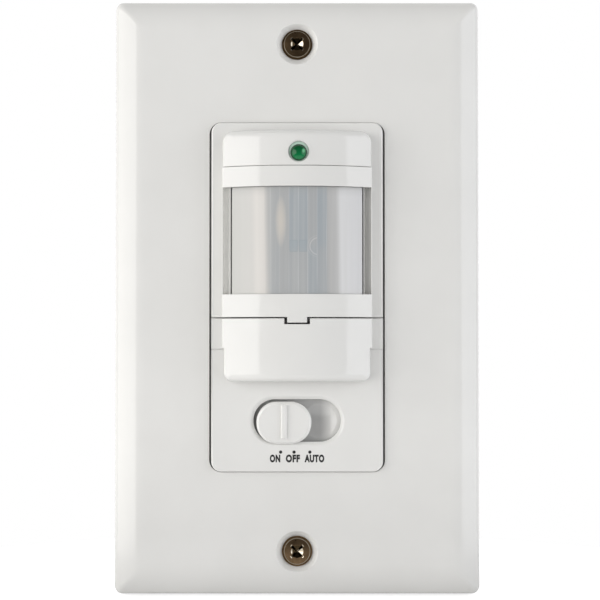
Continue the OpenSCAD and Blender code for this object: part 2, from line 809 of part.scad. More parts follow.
module case_screw_hole() {
    post(case_screw_r + plain_gap, -over, flange_top + over);
    translate([0, 0, flange_top - sink_depth])
        cylinder(r1 = case_screw_r, r2 = case_head_r + over * sink_slope, h = sink_depth + over);
}

module sensor_cap() {
    color("White") stand() difference() {
        intersection() {
            run_along_y(cap_low, cap_high) arch(cap_half_w, head_front, bezel_t, head_r);
            run_along_x(-cap_half_w, cap_half_w)
                rounded_top(cap_low, cap_high, bezel_t, head_front, cap_round);
            round_sides(cap_low, cap_high, cap_half_w, bezel_t, head_front);
        }
        run_along_y(cap_low + head_wall, cap_high - head_wall)
            arch(cap_half_w - head_wall, head_front - head_wall, bezel_t - over, head_r - head_wall);
        translate([led_x, led_y, 0]) {
            post(led_r + led_gap, bezel_t, head_front + over);
            post(led_foot_r + led_gap, bezel_t - over, led_base + led_foot_t + led_gap);
            translate([0, 0, head_front - led_sink])
                cylinder(r1 = led_r + led_gap, r2 = led_r + led_gap + led_sink + over, h = led_sink + over);
        }
    }
}

// Side view of the cap: only its upper front edge is rounded.
module rounded_top(y0, y1, z0, z1, r) {
    translate([y0, z0]) square([y1 - y0 - r, z1 - z0]);
    translate([y0, z0]) square([y1 - y0, z1 - z0 - r]);
    translate([y1 - r, z1 - r]) circle(r);
}

// Front view of the cap: only its upper corners are rounded.
module round_sides(y0, y1, half, z0, z1) {
    translate([0, 0, z0]) linear_extrude(z1 - z0) {
        translate([-half, y0]) square([2 * half, y1 - y0 - cap_round]);
        translate([cap_round - half, y0]) square([2 * (half - cap_round), y1 - y0]);
        for (i = [-1, 1]) {
            translate([i * (half - cap_round), y1 - cap_round]) circle(cap_round);
        }
    }
}

module frame_band(y0, y1) {
    difference() {
        run_along_y(y0, y1) arch(frame_half_w, frame_front, bezel_t, head_r);
        run_along_y(y0 - over, y1 + over)
            arch(frame_half_w - head_wall, frame_front - head_wall, bezel_t - over, head_r - head_wall);
    }
}

module lens_frame() {
    color("White") stand() {
        difference() {
            union() {
                frame_band(lens_high, frame_high);
                frame_band(frame_low, lens_low);
                run_along_y(frame_low, frame_low + head_wall)
                    arch(frame_half_w, frame_front, bezel_t, head_r);
                run_along_y(lens_low - head_wall / 2, lens_high + head_wall / 2) {
                    for (i = [-1, 1]) {
                        cheek_profile(i);
                    }
                }
                intersection() {
                    frame_band(frame_low - tongue_h, frame_low + head_wall / 2);
                    translate([-tongue_w / 2, frame_low - tongue_h, frame_front - tongue_d])
                        cube([tongue_w, tongue_h + head_wall / 2, tongue_d]);
                }
            }
        }
    }
}

// One cheek beside the lens: a deep channel with a lip at the lens and one at the head's side.
module cheek_profile(i) {
    difference() {
        translate([i > 0 ? cheek_in : -frame_half_w, bezel_t])
            square([frame_half_w - cheek_in, cheek_h]);
        translate([i * (frame_half_w - cheek_set), bezel_t + cheek_low + cheek_r]) {
            circle(cheek_r);
            translate([-cheek_r, 0]) square([2 * cheek_r, cheek_h]);
        }
    }
}

module sensor_lens() {
    color("LightGray", 0.8) stand() difference() {
        union() {
            run_along_y(lens_low + part_gap, lens_high - part_gap) difference() {
                union() {
                    arch(lens_half_w, lens_front, hook_low, lens_r);
                    translate([-lens_half_w - hook_out, hook_low])
                        square([2 * (lens_half_w + hook_out), hook_t]);
                }
                arch(lens_half_w - lens_t, lens_front - lens_t, hook_low - over, lens_r - lens_t);
            }
        }
        for (k = [0:groove_count - 1]) {
            translate([(k - (groove_count - 1) / 2) * groove_pitch - groove_w / 2, lens_low, bezel_t])
                cube([groove_w, lens_high - lens_low, groove_top(k) - bezel_t]);
        }
    }
}

// The height to which a groove on the lens's inner side is cut.
function groove_x(k) = (abs(k - (groove_count - 1) / 2)) * groove_pitch + groove_w / 2;
function groove_top(k) = lens_front - lens_r + sqrt(pow(lens_r - lens_t, 2) - pow(groove_x(k), 2)) + groove_d;

module status_led() {
    color("LimeGreen") stand() translate([led_x, led_y, 0]) {
        post(led_foot_r, led_base, led_base + led_foot_t);
        post(led_r, led_base, led_tip - led_r);
        translate([0, 0, led_tip - led_r]) sphere(led_r);
    }
}

module led_leads() {
    color("Silver") stand() translate([led_x, led_y, 0]) {
        for (i = [-1, 1]) {
            translate([i * lead_pitch / 2, 0, 0]) post(lead_r, -control_d, led_base);
        }
    }
}

module pir_sensor() {
    color("Gainsboro") stand() translate([0, pir_y, 0]) difference() {
        union() {
            post(pir_foot_r, -control_d, pir_foot_t - control_d);
            post(pir_r, -control_d, pir_h - control_d);
        }
        block(pir_win_w, pir_win_h, pir_h - control_d - pir_win_t, pir_h);
    }
}

module pir_window() {
    color("DarkSlateGray") stand() translate([0, pir_y, 0])
        block(pir_win_w - part_gap, pir_win_h - part_gap, pir_h - control_d - pir_win_t, pir_h - control_d);
}

module light_cell() {
    color("Peru") stand() translate([cell_x, cell_y, 0]) post(cell_r, -control_d, cell_h - control_d);
}

module control_board() {
    color("DarkGreen") stand() difference() {
        block(control_w, control_h, control_back, -control_d);
        four_corners(post_x, post_y) post(board_screw_r + plain_gap, control_back - over, over);
    }
}

module board_screws() {
    color("Silver") stand() four_corners(post_x, post_y) difference() {
        union() {
            post(board_head_r, control_back - board_head_t, control_back);
            post(board_screw_r, control_back, board_screw_in - control_d);
        }
        block(2 * board_screw_r, cross_w, control_back - 2 * board_head_t, control_back - board_head_t / 2);
    }
}

module trimmer_bodies() {
    color("RoyalBlue") stand() for (i = [-1, 0, 1]) {
        translate([i * dial_pitch, dial_y, 0]) difference() {
            block(trim_w, trim_h, -control_d, trim_top);
            post(shaft_r + shaft_gap, trim_top - shaft_in - shaft_gap, trim_top + over);
        }
    }
}

module switch_body() {
    color("DimGray") stand() translate([0, slide_y, 0]) difference() {
        block(case_l, case_h, -control_d, case_top);
        block(knob_travel + foot_l + 2 * stem_gap, foot_h + 2 * stem_gap, case_floor, case_top + over);
    }
}

module switch_contacts() {
    color("Goldenrod") stand() translate([0, slide_y, 0]) for (i = [-1, 0, 1]) {
        translate([i * knob_travel / 2, 0, 0]) block(contact_w, foot_h, case_floor, case_floor + contact_t);
    }
}

module power_board() {
    color("DarkGreen") stand() block(power_w, power_h, power_face - board_t, power_face);
}

module relay() {
    color("Black") stand() translate([relay_x, relay_y, 0])
        block(relay_l, relay_h, power_face, power_face + relay_d);
}

module film_capacitor() {
    color("Gold") stand() translate([film_x, film_y, 0])
        block(film_w, film_h, power_face, power_face + film_d);
}

module filter_capacitor() {
    color("MidnightBlue") stand() translate([filter_x, filter_y, 0])
        post(filter_r, power_face, power_face + filter_l);
}

module surge_arrester() {
    color("SteelBlue") stand() translate([surge_x - surge_t / 2, surge_y, surge_z]) rotate([0, 90, 0])
        cylinder(r = surge_r, h = surge_t);
}

module dropper_resistor() {
    color("Tan") stand() translate([-drop_l / 2, drop_y, power_face + drop_r]) rotate([0, 90, 0])
        cylinder(r = drop_r, h = drop_l);
}

module board_link() {
    pin_step = link_l / link_pins;
    color("DarkGray") stand() translate([0, link_y, 0]) {
        block(link_l, link_bar_w, power_face, power_face + link_bar_w);
        for (k = [0:link_pins - 1]) {
            translate([(k + 0.5) * pin_step - link_l / 2, 0, 0])
                block(link_pin_w, link_pin_w, power_face, control_back);
        }
    }
}

// Side view of the rear body, chamfered at its back.
module tapered_back(w) {
    polygon([[-w / 2, 0], [w / 2, 0], [w / 2, rear_chamfer - rear_d], [w / 2 - rear_chamfer, -rear_d],
        [rear_chamfer - w / 2, -rear_d], [-w / 2, rear_chamfer - rear_d]]);
}

// The inside of the rear body, chamfered like its outside.
module rear_hollow() {
    intersection() {
        block(rear_w - 2 * rear_wall, rear_h - 2 * rear_wall, rear_wall - rear_d, over);
        run_along_y(-rear_h / 2, rear_h / 2) hollow_side(rear_w - 2 * rear_wall);
        run_along_x(-rear_w / 2, rear_w / 2) hollow_side(rear_h - 2 * rear_wall);
    }
}

module hollow_side(w) {
    c = rear_chamfer - rear_wall / 2;
    polygon([[-w / 2, over], [w / 2, over], [w / 2, rear_wall + c - rear_d], [w / 2 - c, rear_wall - rear_d],
        [c - w / 2, rear_wall - rear_d], [-w / 2, rear_wall + c - rear_d]]);
}

module rear_body() {
    color("DarkSlateGray") stand() difference() {
        union() {
            difference() {
                intersection() {
                    round_block(rear_w, rear_h, rear_corner_r, -rear_d, 0);
                    run_along_y(-rear_h / 2, rear_h / 2) tapered_back(rear_w);
                    run_along_x(-rear_w / 2, rear_w / 2) tapered_back(rear_h);
                }
                rear_hollow();
                block(label_w, label_h, -rear_d - over, label_d - rear_d);
            }
            for (s = [-1, 0, 1]) {
                translate([-rear_w / 2 - barrier_out, s * 2 * term_y - barrier_t / 2, -barrier_d])
                    cube([barrier_out + rear_wall / 2, barrier_t, barrier_d - barrier_set]);
            }
            for (s = [-1, 1]) {
                translate([rear_w / 2 - rear_wall / 2, s * term_y - barrier_t / 2, -barrier_d])
                    cube([barrier_out + rear_wall / 2, barrier_t, barrier_d - barrier_set]);
            }
            four_corners(case_screw_x, case_screw_y) post(boss_r, -boss_d, 0);
            four_corners(rest_x, rest_y) post(rest_r, rear_wall - rear_d, rear_wall + rest_h - rear_d);
        }
        four_corners(case_screw_x, case_screw_y) {
            post(case_screw_r + screw_gap, -case_screw_in - screw_gap, over);
        }
        for (s = [-1, 1]) {
            translate([-rear_w / 2 - over, s * term_y - term_w / 2, -term_d - term_l / 2])
                cube([rear_wall + 2 * over, term_w, term_l]);
        }
        translate([rear_in - over, -term_w / 2, -term_d - term_l / 2])
            cube([rear_wall + 2 * over, term_w, term_l]);
    }
}

module assembly_screws() {
    color("Silver") stand() four_corners(case_screw_x, case_screw_y) difference() {
        union() {
            post(case_screw_r, -case_screw_in, flange_top);
            translate([0, 0, flange_top - sink_depth])
                cylinder(r1 = case_screw_r - screw_gap, r2 = case_head_r - screw_gap, h = sink_depth);
        }
        block(2 * case_screw_r, cross_w, flange_top - sink_depth / 2, flange_top + over);
    }
}

// Puts a piece drawn for the left side at its terminal.
module at_terminals() {
    for (s = [-1, 1]) {
        translate([0, s * term_y, -term_d]) children();
    }
    mirror([1, 0, 0]) translate([0, 0, -term_d]) children();
}

module terminal_plates() {
    color("Goldenrod") stand() at_terminals() difference() {
        union() {
            translate([-rear_in - term_t, term_gap - term_w / 2, term_gap - term_l / 2])
                cube([term_t, term_w - 2 * term_gap, term_l - 2 * term_gap]);
            translate([-rear_in, -leg_w / 2, power_face + term_d])
                cube([leg_t, leg_w, term_l / 2 - term_gap - power_face - term_d]);
        }
        translate([-rear_w, 0, 0]) rotate([0, 90, 0])
            cylinder(r = term_screw_r + screw_gap, h = rear_w);
    }
}

module terminal_screws() {
    color("DarkGoldenrod") stand() at_terminals()
        translate([-rear_in - term_t - term_head_gap, 0, 0]) difference() {
        rotate([0, 90, 0]) {
            translate([0, 0, -term_head_t]) cylinder(r = term_head_r, h = term_head_t);
            cylinder(r = term_screw_r, h = term_t + term_head_gap + term_screw_in);
        }
        translate([-term_head_t - over, -term_head_r, -term_slot_w / 2])
            cube([term_slot_d + over, 2 * term_head_r, term_slot_w]);
    }
}

module ground_screw() {
    color("Green") stand() translate([ground_x, -ground_drop, 0]) {
        translate([0, 0, -ground_head_t]) cylinder(r = ground_hex_w / 2, h = ground_head_t, $fn = 6);
        post(ground_r, -ground_head_t, strap_t + ground_tail);
    }
}

module hinge_pins() {
    color("Silver") stand() for (i = [-1, 1]) {
        translate([i * lug_x - lug_t / 2 - pin_reach, hinge_y, hinge_z]) rotate([0, 90, 0])
            cylinder(r = hinge_pin_r, h = lug_t + 2 * pin_reach);
    }
}

// Side view of the door: rounded at the lower front, a barrel at the lower back.
module door_side(base) {
    translate([hinge_y, base]) square([door_high - hinge_y, head_front - base]);
    translate([door_low, hinge_z]) square([barrel_r + over, head_front - door_round - hinge_z]);
    translate([hinge_y, hinge_z]) circle(barrel_r);
    intersection() {
        translate([door_low, hinge_z]) square([barrel_r + over, head_front - hinge_z]);
        translate([door_low + door_round, head_front - door_round]) circle(door_round);
    }
}

module door_shell() {
    intersection() {
        union() {
            run_along_y(ears_low, door_high) arch(frame_half_w, head_front, ears_base, head_r);
            run_along_y(door_low - over, ears_low) arch(door_half_w, head_front, bezel_t, head_r);
        }
        union() {
            run_along_x(-frame_half_w, frame_half_w) door_round_side();
            translate([-bezel_w, ears_low, ears_base]) cube([2 * bezel_w, door_high - ears_low, head_front]);
        }
        translate([0, 0, ears_base]) linear_extrude(head_front - ears_base + over) door_front();
    }
    translate([-ears_half_w, ears_low, ears_base])
        cube([2 * ears_half_w, door_high - ears_low, ears_t]);
}

// Front view of the door: only its lower corners are rounded.
module door_front() {
    translate([-frame_half_w, door_low + door_corner_r])
        square([2 * frame_half_w, door_high - door_low - door_corner_r + over]);
    translate([door_corner_r - door_half_w, door_low])
        square([2 * (door_half_w - door_corner_r), door_high - door_low]);
    for (i = [-1, 1]) {
        translate([i * (door_half_w - door_corner_r), door_low + door_corner_r]) circle(door_corner_r);
    }
}

// The part of the door's side view that lies below its ears.
module door_round_side() {
    difference() {
        door_side(door_base);
        translate([door_low, head_front - door_round]) difference() {
            square([door_round, door_round + over]);
            translate([door_round, 0]) circle(door_round);
        }
    }
}

module adjuster_door() {
    color("White") stand() difference() {
        door_shell();
        run_along_y(door_low + 2 * barrel_r, door_high + over)
            arch(door_inner, head_front - head_wall, ears_base - over, head_r - head_wall);
        translate([-notch_w / 2, door_high - notch_h, bezel_t]) cube([notch_w, notch_h + over, head_front]);
        run_along_x(-bezel_w, bezel_w) difference() {
            translate([door_high - ears_t, ears_base - over]) square([2 * ears_t, ears_t + over]);
            translate([hinge_y, hinge_z]) circle(door_sweep_r, $fn = 2 * fine);
        }
        for (i = [-1, 1]) {
            translate([i * lug_x - lug_t / 2 - lug_gap, door_low - over, bezel_t])
                cube([lug_t + 2 * lug_gap, 2 * barrel_r + 2 * over, hinge_up + lug_r + lug_gap]);
            translate([i * lug_x - lug_t / 2 - pin_reach - lug_gap, hinge_y, hinge_z]) rotate([0, 90, 0])
                cylinder(r = hinge_pin_r + hinge_gap, h = lug_t + 2 * pin_reach + 2 * lug_gap);
        }
    }
}

module dial(i) {
    translate([i * dial_pitch, dial_y, 0]) difference() {
        union() {
            post(dial_r, collar_low, dial_top);
            post(dial_r + dial_gap + collar_out, collar_low, collar_top);
            post(shaft_r, trim_top - shaft_in, collar_top);
        }
        block(2 * dial_r - 2 * dimple_r, dial_slot_w, dial_top - dial_slot_d, dial_top + over);
        translate([0, dial_r - 2 * dimple_r, 0]) post(dimple_r, dial_top - dimple_r, dial_top + over);
    }
}

module time_dial() {
    color("Orange") stand() dial(-1);
}

module light_dial() {
    color("Orange") stand() dial(0);
}

module range_dial() {
    color("Orange") stand() dial(1);
}

module slide_knob() {
    color("White") stand() translate([knob_x, slide_y, 0]) difference() {
        union() {
            translate([0, knob_set, 0]) long_block(skirt_l, skirt_h, skirt_low, well_floor);
            long_block(knob_l, knob_h, skirt_low, knob_top - knob_edge);
            translate([0, -knob_head_drop, 0]) {
                long_block(knob_l, knob_head_h, bezel_t - knob_head_in, knob_top - knob_edge);
                translate([0, 0, knob_top]) mirror([0, 0, 1])
                    long_flare(knob_l - 2 * knob_edge, knob_head_h - 2 * knob_edge, knob_edge, 0, knob_edge);
            }
            block(rib_w, rib_l, well_floor, knob_top + rib_h);
            block(stem_l, stem_h, stem_low, well_floor);
        }
        block(nub_l + 2 * screw_gap, nub_h + 2 * screw_gap, stem_low - over, nub_top + screw_gap);
    }
}

module switch_slider() {
    color("Black") stand() translate([knob_x, slide_y, 0]) {
        block(foot_l, foot_h, foot_low, foot_high);
        block(nub_l, nub_h, foot_low, nub_top);
    }
}

module contact_bridge() {
    color("Goldenrod") stand() translate([knob_x, slide_y, 0]) block(foot_l, contact_w, bridge_low, foot_low);
}

wall_plate();
plate_screws();
mounting_strap();
front_bezel();
sensor_cap();
lens_frame();
sensor_lens();
status_led();
led_leads();
pir_sensor();
pir_window();
light_cell();
control_board();
board_screws();
trimmer_bodies();
switch_body();
switch_contacts();
power_board();
relay();
film_capacitor();
filter_capacitor();
surge_arrester();
dropper_resistor();
board_link();
rear_body();
assembly_screws();
terminal_plates();
terminal_screws();
ground_screw();
hinge_pins();
adjuster_door();
time_dial();
light_dial();
range_dial();
slide_knob();
switch_slider();
contact_bridge();
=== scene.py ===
import math

import bmesh
import bpy
from mathutils import Matrix, Vector


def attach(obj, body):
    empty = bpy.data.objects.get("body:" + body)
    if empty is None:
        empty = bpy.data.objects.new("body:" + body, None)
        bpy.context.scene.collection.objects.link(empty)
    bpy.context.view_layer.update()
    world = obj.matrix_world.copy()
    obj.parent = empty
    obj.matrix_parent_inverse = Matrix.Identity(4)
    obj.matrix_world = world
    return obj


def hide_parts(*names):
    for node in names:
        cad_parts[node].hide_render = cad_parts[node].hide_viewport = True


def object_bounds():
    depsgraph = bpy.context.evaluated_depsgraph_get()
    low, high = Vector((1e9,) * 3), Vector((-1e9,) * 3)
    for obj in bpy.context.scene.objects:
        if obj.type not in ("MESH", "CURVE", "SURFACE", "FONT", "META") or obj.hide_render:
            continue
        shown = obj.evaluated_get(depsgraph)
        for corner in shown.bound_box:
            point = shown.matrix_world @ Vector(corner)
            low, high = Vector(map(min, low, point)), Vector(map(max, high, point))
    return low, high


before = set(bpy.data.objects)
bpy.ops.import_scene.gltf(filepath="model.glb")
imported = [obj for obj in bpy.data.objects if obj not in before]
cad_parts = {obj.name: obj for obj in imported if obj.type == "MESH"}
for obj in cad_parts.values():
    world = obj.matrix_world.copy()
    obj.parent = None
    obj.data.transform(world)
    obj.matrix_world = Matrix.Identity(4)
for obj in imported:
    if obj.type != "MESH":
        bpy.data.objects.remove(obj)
cad_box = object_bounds()
scene = bpy.context.scene
MM = 0.001
# Points nearer than this, in metres, are one point.
SEAM, CAD_SEAM = 2e-7, 1e-6

# Sizes in millimetres: x to the right, up the wall, out into the room.
PLATE_W, PLATE_H, PLATE_FACE = 70.5, 114.3, 6.0
EDGE_R, EDGE_W, SIDE_LEAN, PLATE_CORNER = 8.4, 5.8, 0.5, 1.6
OPENING_W, OPENING_H, OPENING_R, OPENING_EASE = 33.4, 66.6, 2.3, 0.1
HOLLOW_OUT, HOLLOW_RIM = 3.6, 2.0
PLATE_SCREW_UP, SCREW_TOP, SCREW_POINT = 48.4, 5.72, -4.0
THREAD_R, THREAD_ROOT, THREAD_PITCH = 1.75, 1.36, 0.794
BEZEL_FACE = 7.0
HEAD_FRONT, HEAD_R, HEAD_HALF, HEAD_WALL = 13.0, 28.0, 14.2, 1.4
BAND_FRONT = 13.2
CAP_HALF, CAP_LOW, CAP_HIGH, CAP_CORNER = 14.05, 24.5, 31.3, 2.1
SIDE_EASE, PARTING_EASE = 0.45, 0.14
LENS_HALF, LENS_FRONT, LENS_R, LENS_LOW, LENS_HIGH = 12.3, 12.6, 24.0, 0.44, 20.56
SEGMENT, SEGMENT_START = 1.75, 0.24
LIP_IN, LIP_OUT = 12.5, 8.75
LED_X, LED_UP = 0.3, 27.1
DOME_R, DOME_DROP, COLLAR_R = 1.52, 0.22, 1.84
DOOR_LOW, DOOR_HIGH, EARS_LOW = -16.0, -4.15, -9.75
DOOR_HALF, EARS_HALF, DOOR_EDGE = 13.8, 16.3, 14.2
HINGE_UP, HINGE_OUT, HINGE_X, HINGE_PIN_R = -15.2, 8.0, 9.0, 0.45
DOOR_FOOT, EARS_FOOT = 7.15, 6.4
WELL_UP, KNOB_X = -23.7, -2.5
# Each word with its middle and its width.
WORDS = (("ON", -4.18, 1.97), ("OFF", -0.80, 2.68), ("AUTO", 3.27, 3.74))
WORDS_UP, WORDS_H = -31.40, 1.48
DOTS_X, DOTS_UP, DOT_R = (-3.12, -0.58, 2.42), -29.45, 0.31
INK_FOOT, INK = BEZEL_FACE - 0.006, 0.018
FLOOR_R, FLOOR_GAP, LIT_FRONT = 100, 0.1, 12.0

# Steps round edges, corners and sweeps, and the angles at which two faces make an edge or lie flat.
EDGE_STEPS, CORNER_STEPS, FOOT_STEPS, EASE_STEPS, FRONT_STEPS, SWEEP_STEPS = 18, 12, 4, 6, 24, 24
EDGE_TURN, FLAT_TURN = math.radians(24), math.radians(0.5)

# The white of the bezel, the knob and the frame.
BEZEL_DARK, BEZEL_LIGHT, WHITE_IOR = (0.81, 0.806, 0.785), (0.835, 0.831, 0.81), 1.57


def spot(x, up, out):
    """A point in the frame from millimetres right, up and out."""
    return Vector((x * MM, -out * MM, up * MM))


# Mesh helpers


def new_piece(name, mesh):
    piece = bpy.data.objects.new(name, mesh)
    scene.collection.objects.link(piece)
    return piece


def mesh_from(bm, name):
    """A mesh with its seams closed and its faces outward."""
    bmesh.ops.remove_doubles(bm, verts=bm.verts, dist=SEAM)
    bmesh.ops.recalc_face_normals(bm, faces=bm.faces)
    mesh = bpy.data.meshes.new(name)
    bm.to_mesh(mesh)
    bm.free()
    return mesh


def settle(piece):
    """Turns a piece's modifiers into its plain mesh."""
    graph = bpy.context.evaluated_depsgraph_get()
    made = bpy.data.meshes.new_from_object(piece.evaluated_get(graph), depsgraph=graph)
    piece.modifiers.clear()
    old, piece.data = piece.data, made
    bpy.data.meshes.remove(old)
    return piece


def carve(piece, tool, way="DIFFERENCE"):
    """Cuts a tool out of a piece, or joins it on."""
    cut = piece.modifiers.new("carve", "BOOLEAN")
    cut.operation, cut.solver, cut.object = way, "MANIFOLD", tool
    settle(piece)
    mesh = tool.data
    bpy.data.objects.remove(tool)
    bpy.data.meshes.remove(mesh)


def loft(rings):
    """A closed skin through rings of points, flat at both ends."""
    bm = bmesh.new()
    loops = [[bm.verts.new(p) for p in ring] for ring in rings]
    n = len(loops[0])
    for a, b in zip(loops, loops[1:]):
        for i in range(n):
            bm.faces.new((a[i], a[(i + 1) % n], b[(i + 1) % n], b[i]))
    bm.faces.new(loops[0][::-1])
    bm.faces.new(loops[-1])
    return new_piece("form", mesh_from(bm, "form"))


def circle(r, steps):
    """Points round a circle about the centre."""
    turns = [2 * math.pi * k / steps for k in range(steps)]
    return [(r * math.cos(a), r * math.sin(a)) for a in turns]


def rounded(w, h, r, steps=12):
    """Outline of a rounded rectangle about the centre."""
    line = []
    for i, j, turn in ((1, 1, 0), (-1, 1, 90), (-1, -1, 180), (1, -1, 270)):
        for k in range(steps + 1):
            a = math.radians(turn + 90 * k / steps)
            line.append((i * (w / 2 - r) + r * math.cos(a), j * (h / 2 - r) + r * math.sin(a)))
    return line


def slab(outline, out0, out1, up=0.0, x=0.0):
    """A flat piece with the same outline from front to back."""
    return loft([[spot(px + x, pu + up, out) for px, pu in outline] for out in (out0, out1)])


def tapered(sections):
    """A form through rounded rectangles, each a width, a height, a corner and how far out it lies."""
    return loft([[spot(x, up, out) for x, up in rounded(w, h, r)] for w, h, r, out in sections])


def box(x0, x1, up0, up1, out0, out1):
    return slab([(x0, up0), (x1, up0), (x1, up1), (x0, up1)], out0, out1)


def lathe(profile, x, up, steps=64):
    """Turns a profile of radius and height out of the wall about an axis at x, up."""
    return loft([[spot(x + a, up + b, out) for a, b in circle(r, steps)] for r, out in profile])


def rod(x0, x1, up, out, r, steps=32):
    """A round bar along x."""
    return loft([[spot(x, up + a, out + b) for a, b in circle(r, steps)] for x in (x0, x1)])


def arch_out(x, front, r):
    """How far out an arched front stands at x."""
    return front - r + math.sqrt(max(r * r - x * x, 0.0))


def arch_bar(half, up0, up1, base, front, r, steps=48):
    """A bar along up whose front is an arc."""
    across = [half - 2 * half * k / steps for k in range(steps + 1)]
    line = [(-half, base), (half, base)] + [(x, arch_out(x, front, r)) for x in across]
    return loft([[spot(x, up, out) for x, out in line] for up in (up0, up1)])


def moulded_rim(corners, step=0.5):
    """Walks round a front view, counter-clockwise. A corner is x, up, its radius, and the easing and the foot
    of the edge after it. Gives each point with the way its eased edge leans in, the easing and the foot."""
    rim, n = [], len(corners)
    for i in range(n):
        x, u, r, ease, foot = corners[i]
        px, pu, _, before, _ = corners[i - 1]
        nx, nu, next_r, _, _ = corners[(i + 1) % n]
        a = Vector((x - px, u - pu)).normalized()
        b = Vector((nx - x, nu - u)).normalized()
        in_a, in_b = Vector((-a.y, a.x)), Vector((-b.y, b.x))
        here = Vector((x, u))
        if r > 0:
            turn = a.angle(b)
            back = r * math.tan(turn / 2)
            centre = here - a * back + in_a * r
            for k in range(CORNER_STEPS + 1):
                t = k / CORNER_STEPS
                d = (in_a * math.sin((1 - t) * turn) + in_b * math.sin(t * turn)).normalized()
                e = before + (ease - before) * t
                rim.append((centre - d * r, d * e, e, foot))
            start = here + b * back
        else:
            rim.append((here, in_a * before + in_b * ease, (before + ease) / 2, foot))
            start = here
        after = Vector((nx, nu))
        if next_r > 0:
            nn = corners[(i + 2) % n]
            c = Vector((nn[0] - nx, nn[1] - nu)).normalized()
            after = after - b * (next_r * math.tan(b.angle(c) / 2))
        length = (after - start).length
        parts = max(1, int(length / step))
        for k in range(1, parts):
            rim.append((start + (after - start) * (k / parts), in_b * ease, ease, foot))
    return rim


def pillow(rim, front, r, middle, heel=None):
    """A moulded form over a rim: upright sides, an eased edge and an arched front. heel gives the rounding of
    the foot at a point, where there is one."""
    rings = []
    feet = [heel(p) if heel else 0.0 for p, _, _, _ in rim]
    for k in range(FOOT_STEPS + 1):
        a = math.radians(90 * k / FOOT_STEPS)
        rings.append([spot(*(p + (lean.normalized() if lean.length else lean) * h * (1 - math.sin(a))),
                           foot + h * (1 - math.cos(a))) for (p, lean, _, foot), h in zip(rim, feet)])
    for k in range(EASE_STEPS + 1):
        a = math.radians(90 * k / EASE_STEPS)
        ring = []
        for p, lean, ease, _ in rim:
            q = p + lean * (1 - math.cos(a))
            ring.append(spot(q.x, q.y, arch_out(q.x, front, r) - ease * (1 - math.sin(a))))
        rings.append(ring)
    c = Vector(middle)
    for k in range(1, FRONT_STEPS):
        ring = []
        for p, lean, _, _ in rim:
            q = c + (p + lean - c) * (1 - k / FRONT_STEPS)
            ring.append(spot(q.x, q.y, arch_out(q.x, front, r)))
        rings.append(ring)
    return loft(rings)


def eased(node, easings):
    """A copy of a CAD solid with chosen edges rounded. An easing is a width, its steps and a test that is
    given both ends of an edge as right, up, out."""
    bm = bmesh.new()
    bm.from_mesh(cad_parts[node].data)
    bmesh.ops.remove_doubles(bm, verts=bm.verts, dist=CAD_SEAM)
    bmesh.ops.dissolve_limit(bm, angle_limit=FLAT_TURN, verts=bm.verts[:], edges=bm.edges[:])
    for width, steps, test in easings:
        picked = []
        for e in bm.edges:
            if len(e.link_faces) == 2 and e.calc_face_angle(0) > EDGE_TURN:
                ends = [(v.co.x / MM, v.co.z / MM, -v.co.y / MM) for v in e.verts]
                if test(*ends):
                    picked.append(e)
        bmesh.ops.bevel(bm, geom=picked, offset=width * MM, offset_type="OFFSET", segments=steps, profile=0.5,
                        affect="EDGES", clamp_overlap=True)
    mesh = bpy.data.meshes.new("form")
    bm.to_mesh(mesh)
    bm.free()
    return new_piece("form", mesh)


def hand_over(piece, name, finish, nodes, body="switch_base", sharp=34):
    """Smooths a finished piece, gives it its finish and puts it on its body."""
    piece.name = name
    mesh = piece.data
    mesh.name = name
    mesh.polygons.foreach_set("use_smooth", [True] * len(mesh.polygons))
    mesh.set_sharp_from_angle(angle=math.radians(sharp))
    normals = piece.modifiers.new("normals", "WEIGHTED_NORMAL")
    normals.keep_sharp = True
    settle(piece)
    piece.data.materials.clear()
    piece.data.materials.append(finish)
    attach(piece, body)
    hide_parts(*nodes)


# Finishes


def socket(node, name, value):
    node.inputs[name].default_value = value


class Nodes:
    """A node tree, with the few nodes that the finishes and the room share."""

    def __init__(self, tree):
        self.tree = tree

    def add(self, kind, **settings):
        node = self.tree.nodes.new(kind)
        for key, value in settings.items():
            setattr(node, key, value)
        return node

    def join(self, a, b):
        self.tree.links.new(a, b)

    def between(self, source, low, high, low_out, high_out):
        """Carries the span from low to high over to the span from low_out to high_out."""
        node = self.add("ShaderNodeMapRange")
        for name, value in (("From Min", low), ("From Max", high), ("To Min", low_out), ("To Max", high_out)):
            socket(node, name, value)
        self.join(source, node.inputs["Value"])
        return node.outputs["Result"]

    def maths(self, way, a, b=0.0, c=0.0):
        node = self.add("ShaderNodeMath", operation=way)
        for i, value in enumerate((a, b, c)):
            if isinstance(value, (int, float)):
                node.inputs[i].default_value = value
            else:
                self.join(value, node.inputs[i])
        return node.outputs[0]

    def times(self, a, b):
        return self.maths("MULTIPLY", a, b)

    def gap(self, a, b):
        return self.maths("ABSOLUTE", self.maths("SUBTRACT", a, b))

    def oval(self, x, up, middle=(0, 0), half=(1, 1)):
        """The squared way out from the middle of an oval, 1 on its edge."""
        a = self.maths("DIVIDE", self.maths("SUBTRACT", x, middle[0]), half[0])
        b = self.maths("DIVIDE", self.maths("SUBTRACT", up, middle[1]), half[1])
        return self.maths("ADD", self.maths("POWER", a, 2), self.maths("POWER", b, 2))


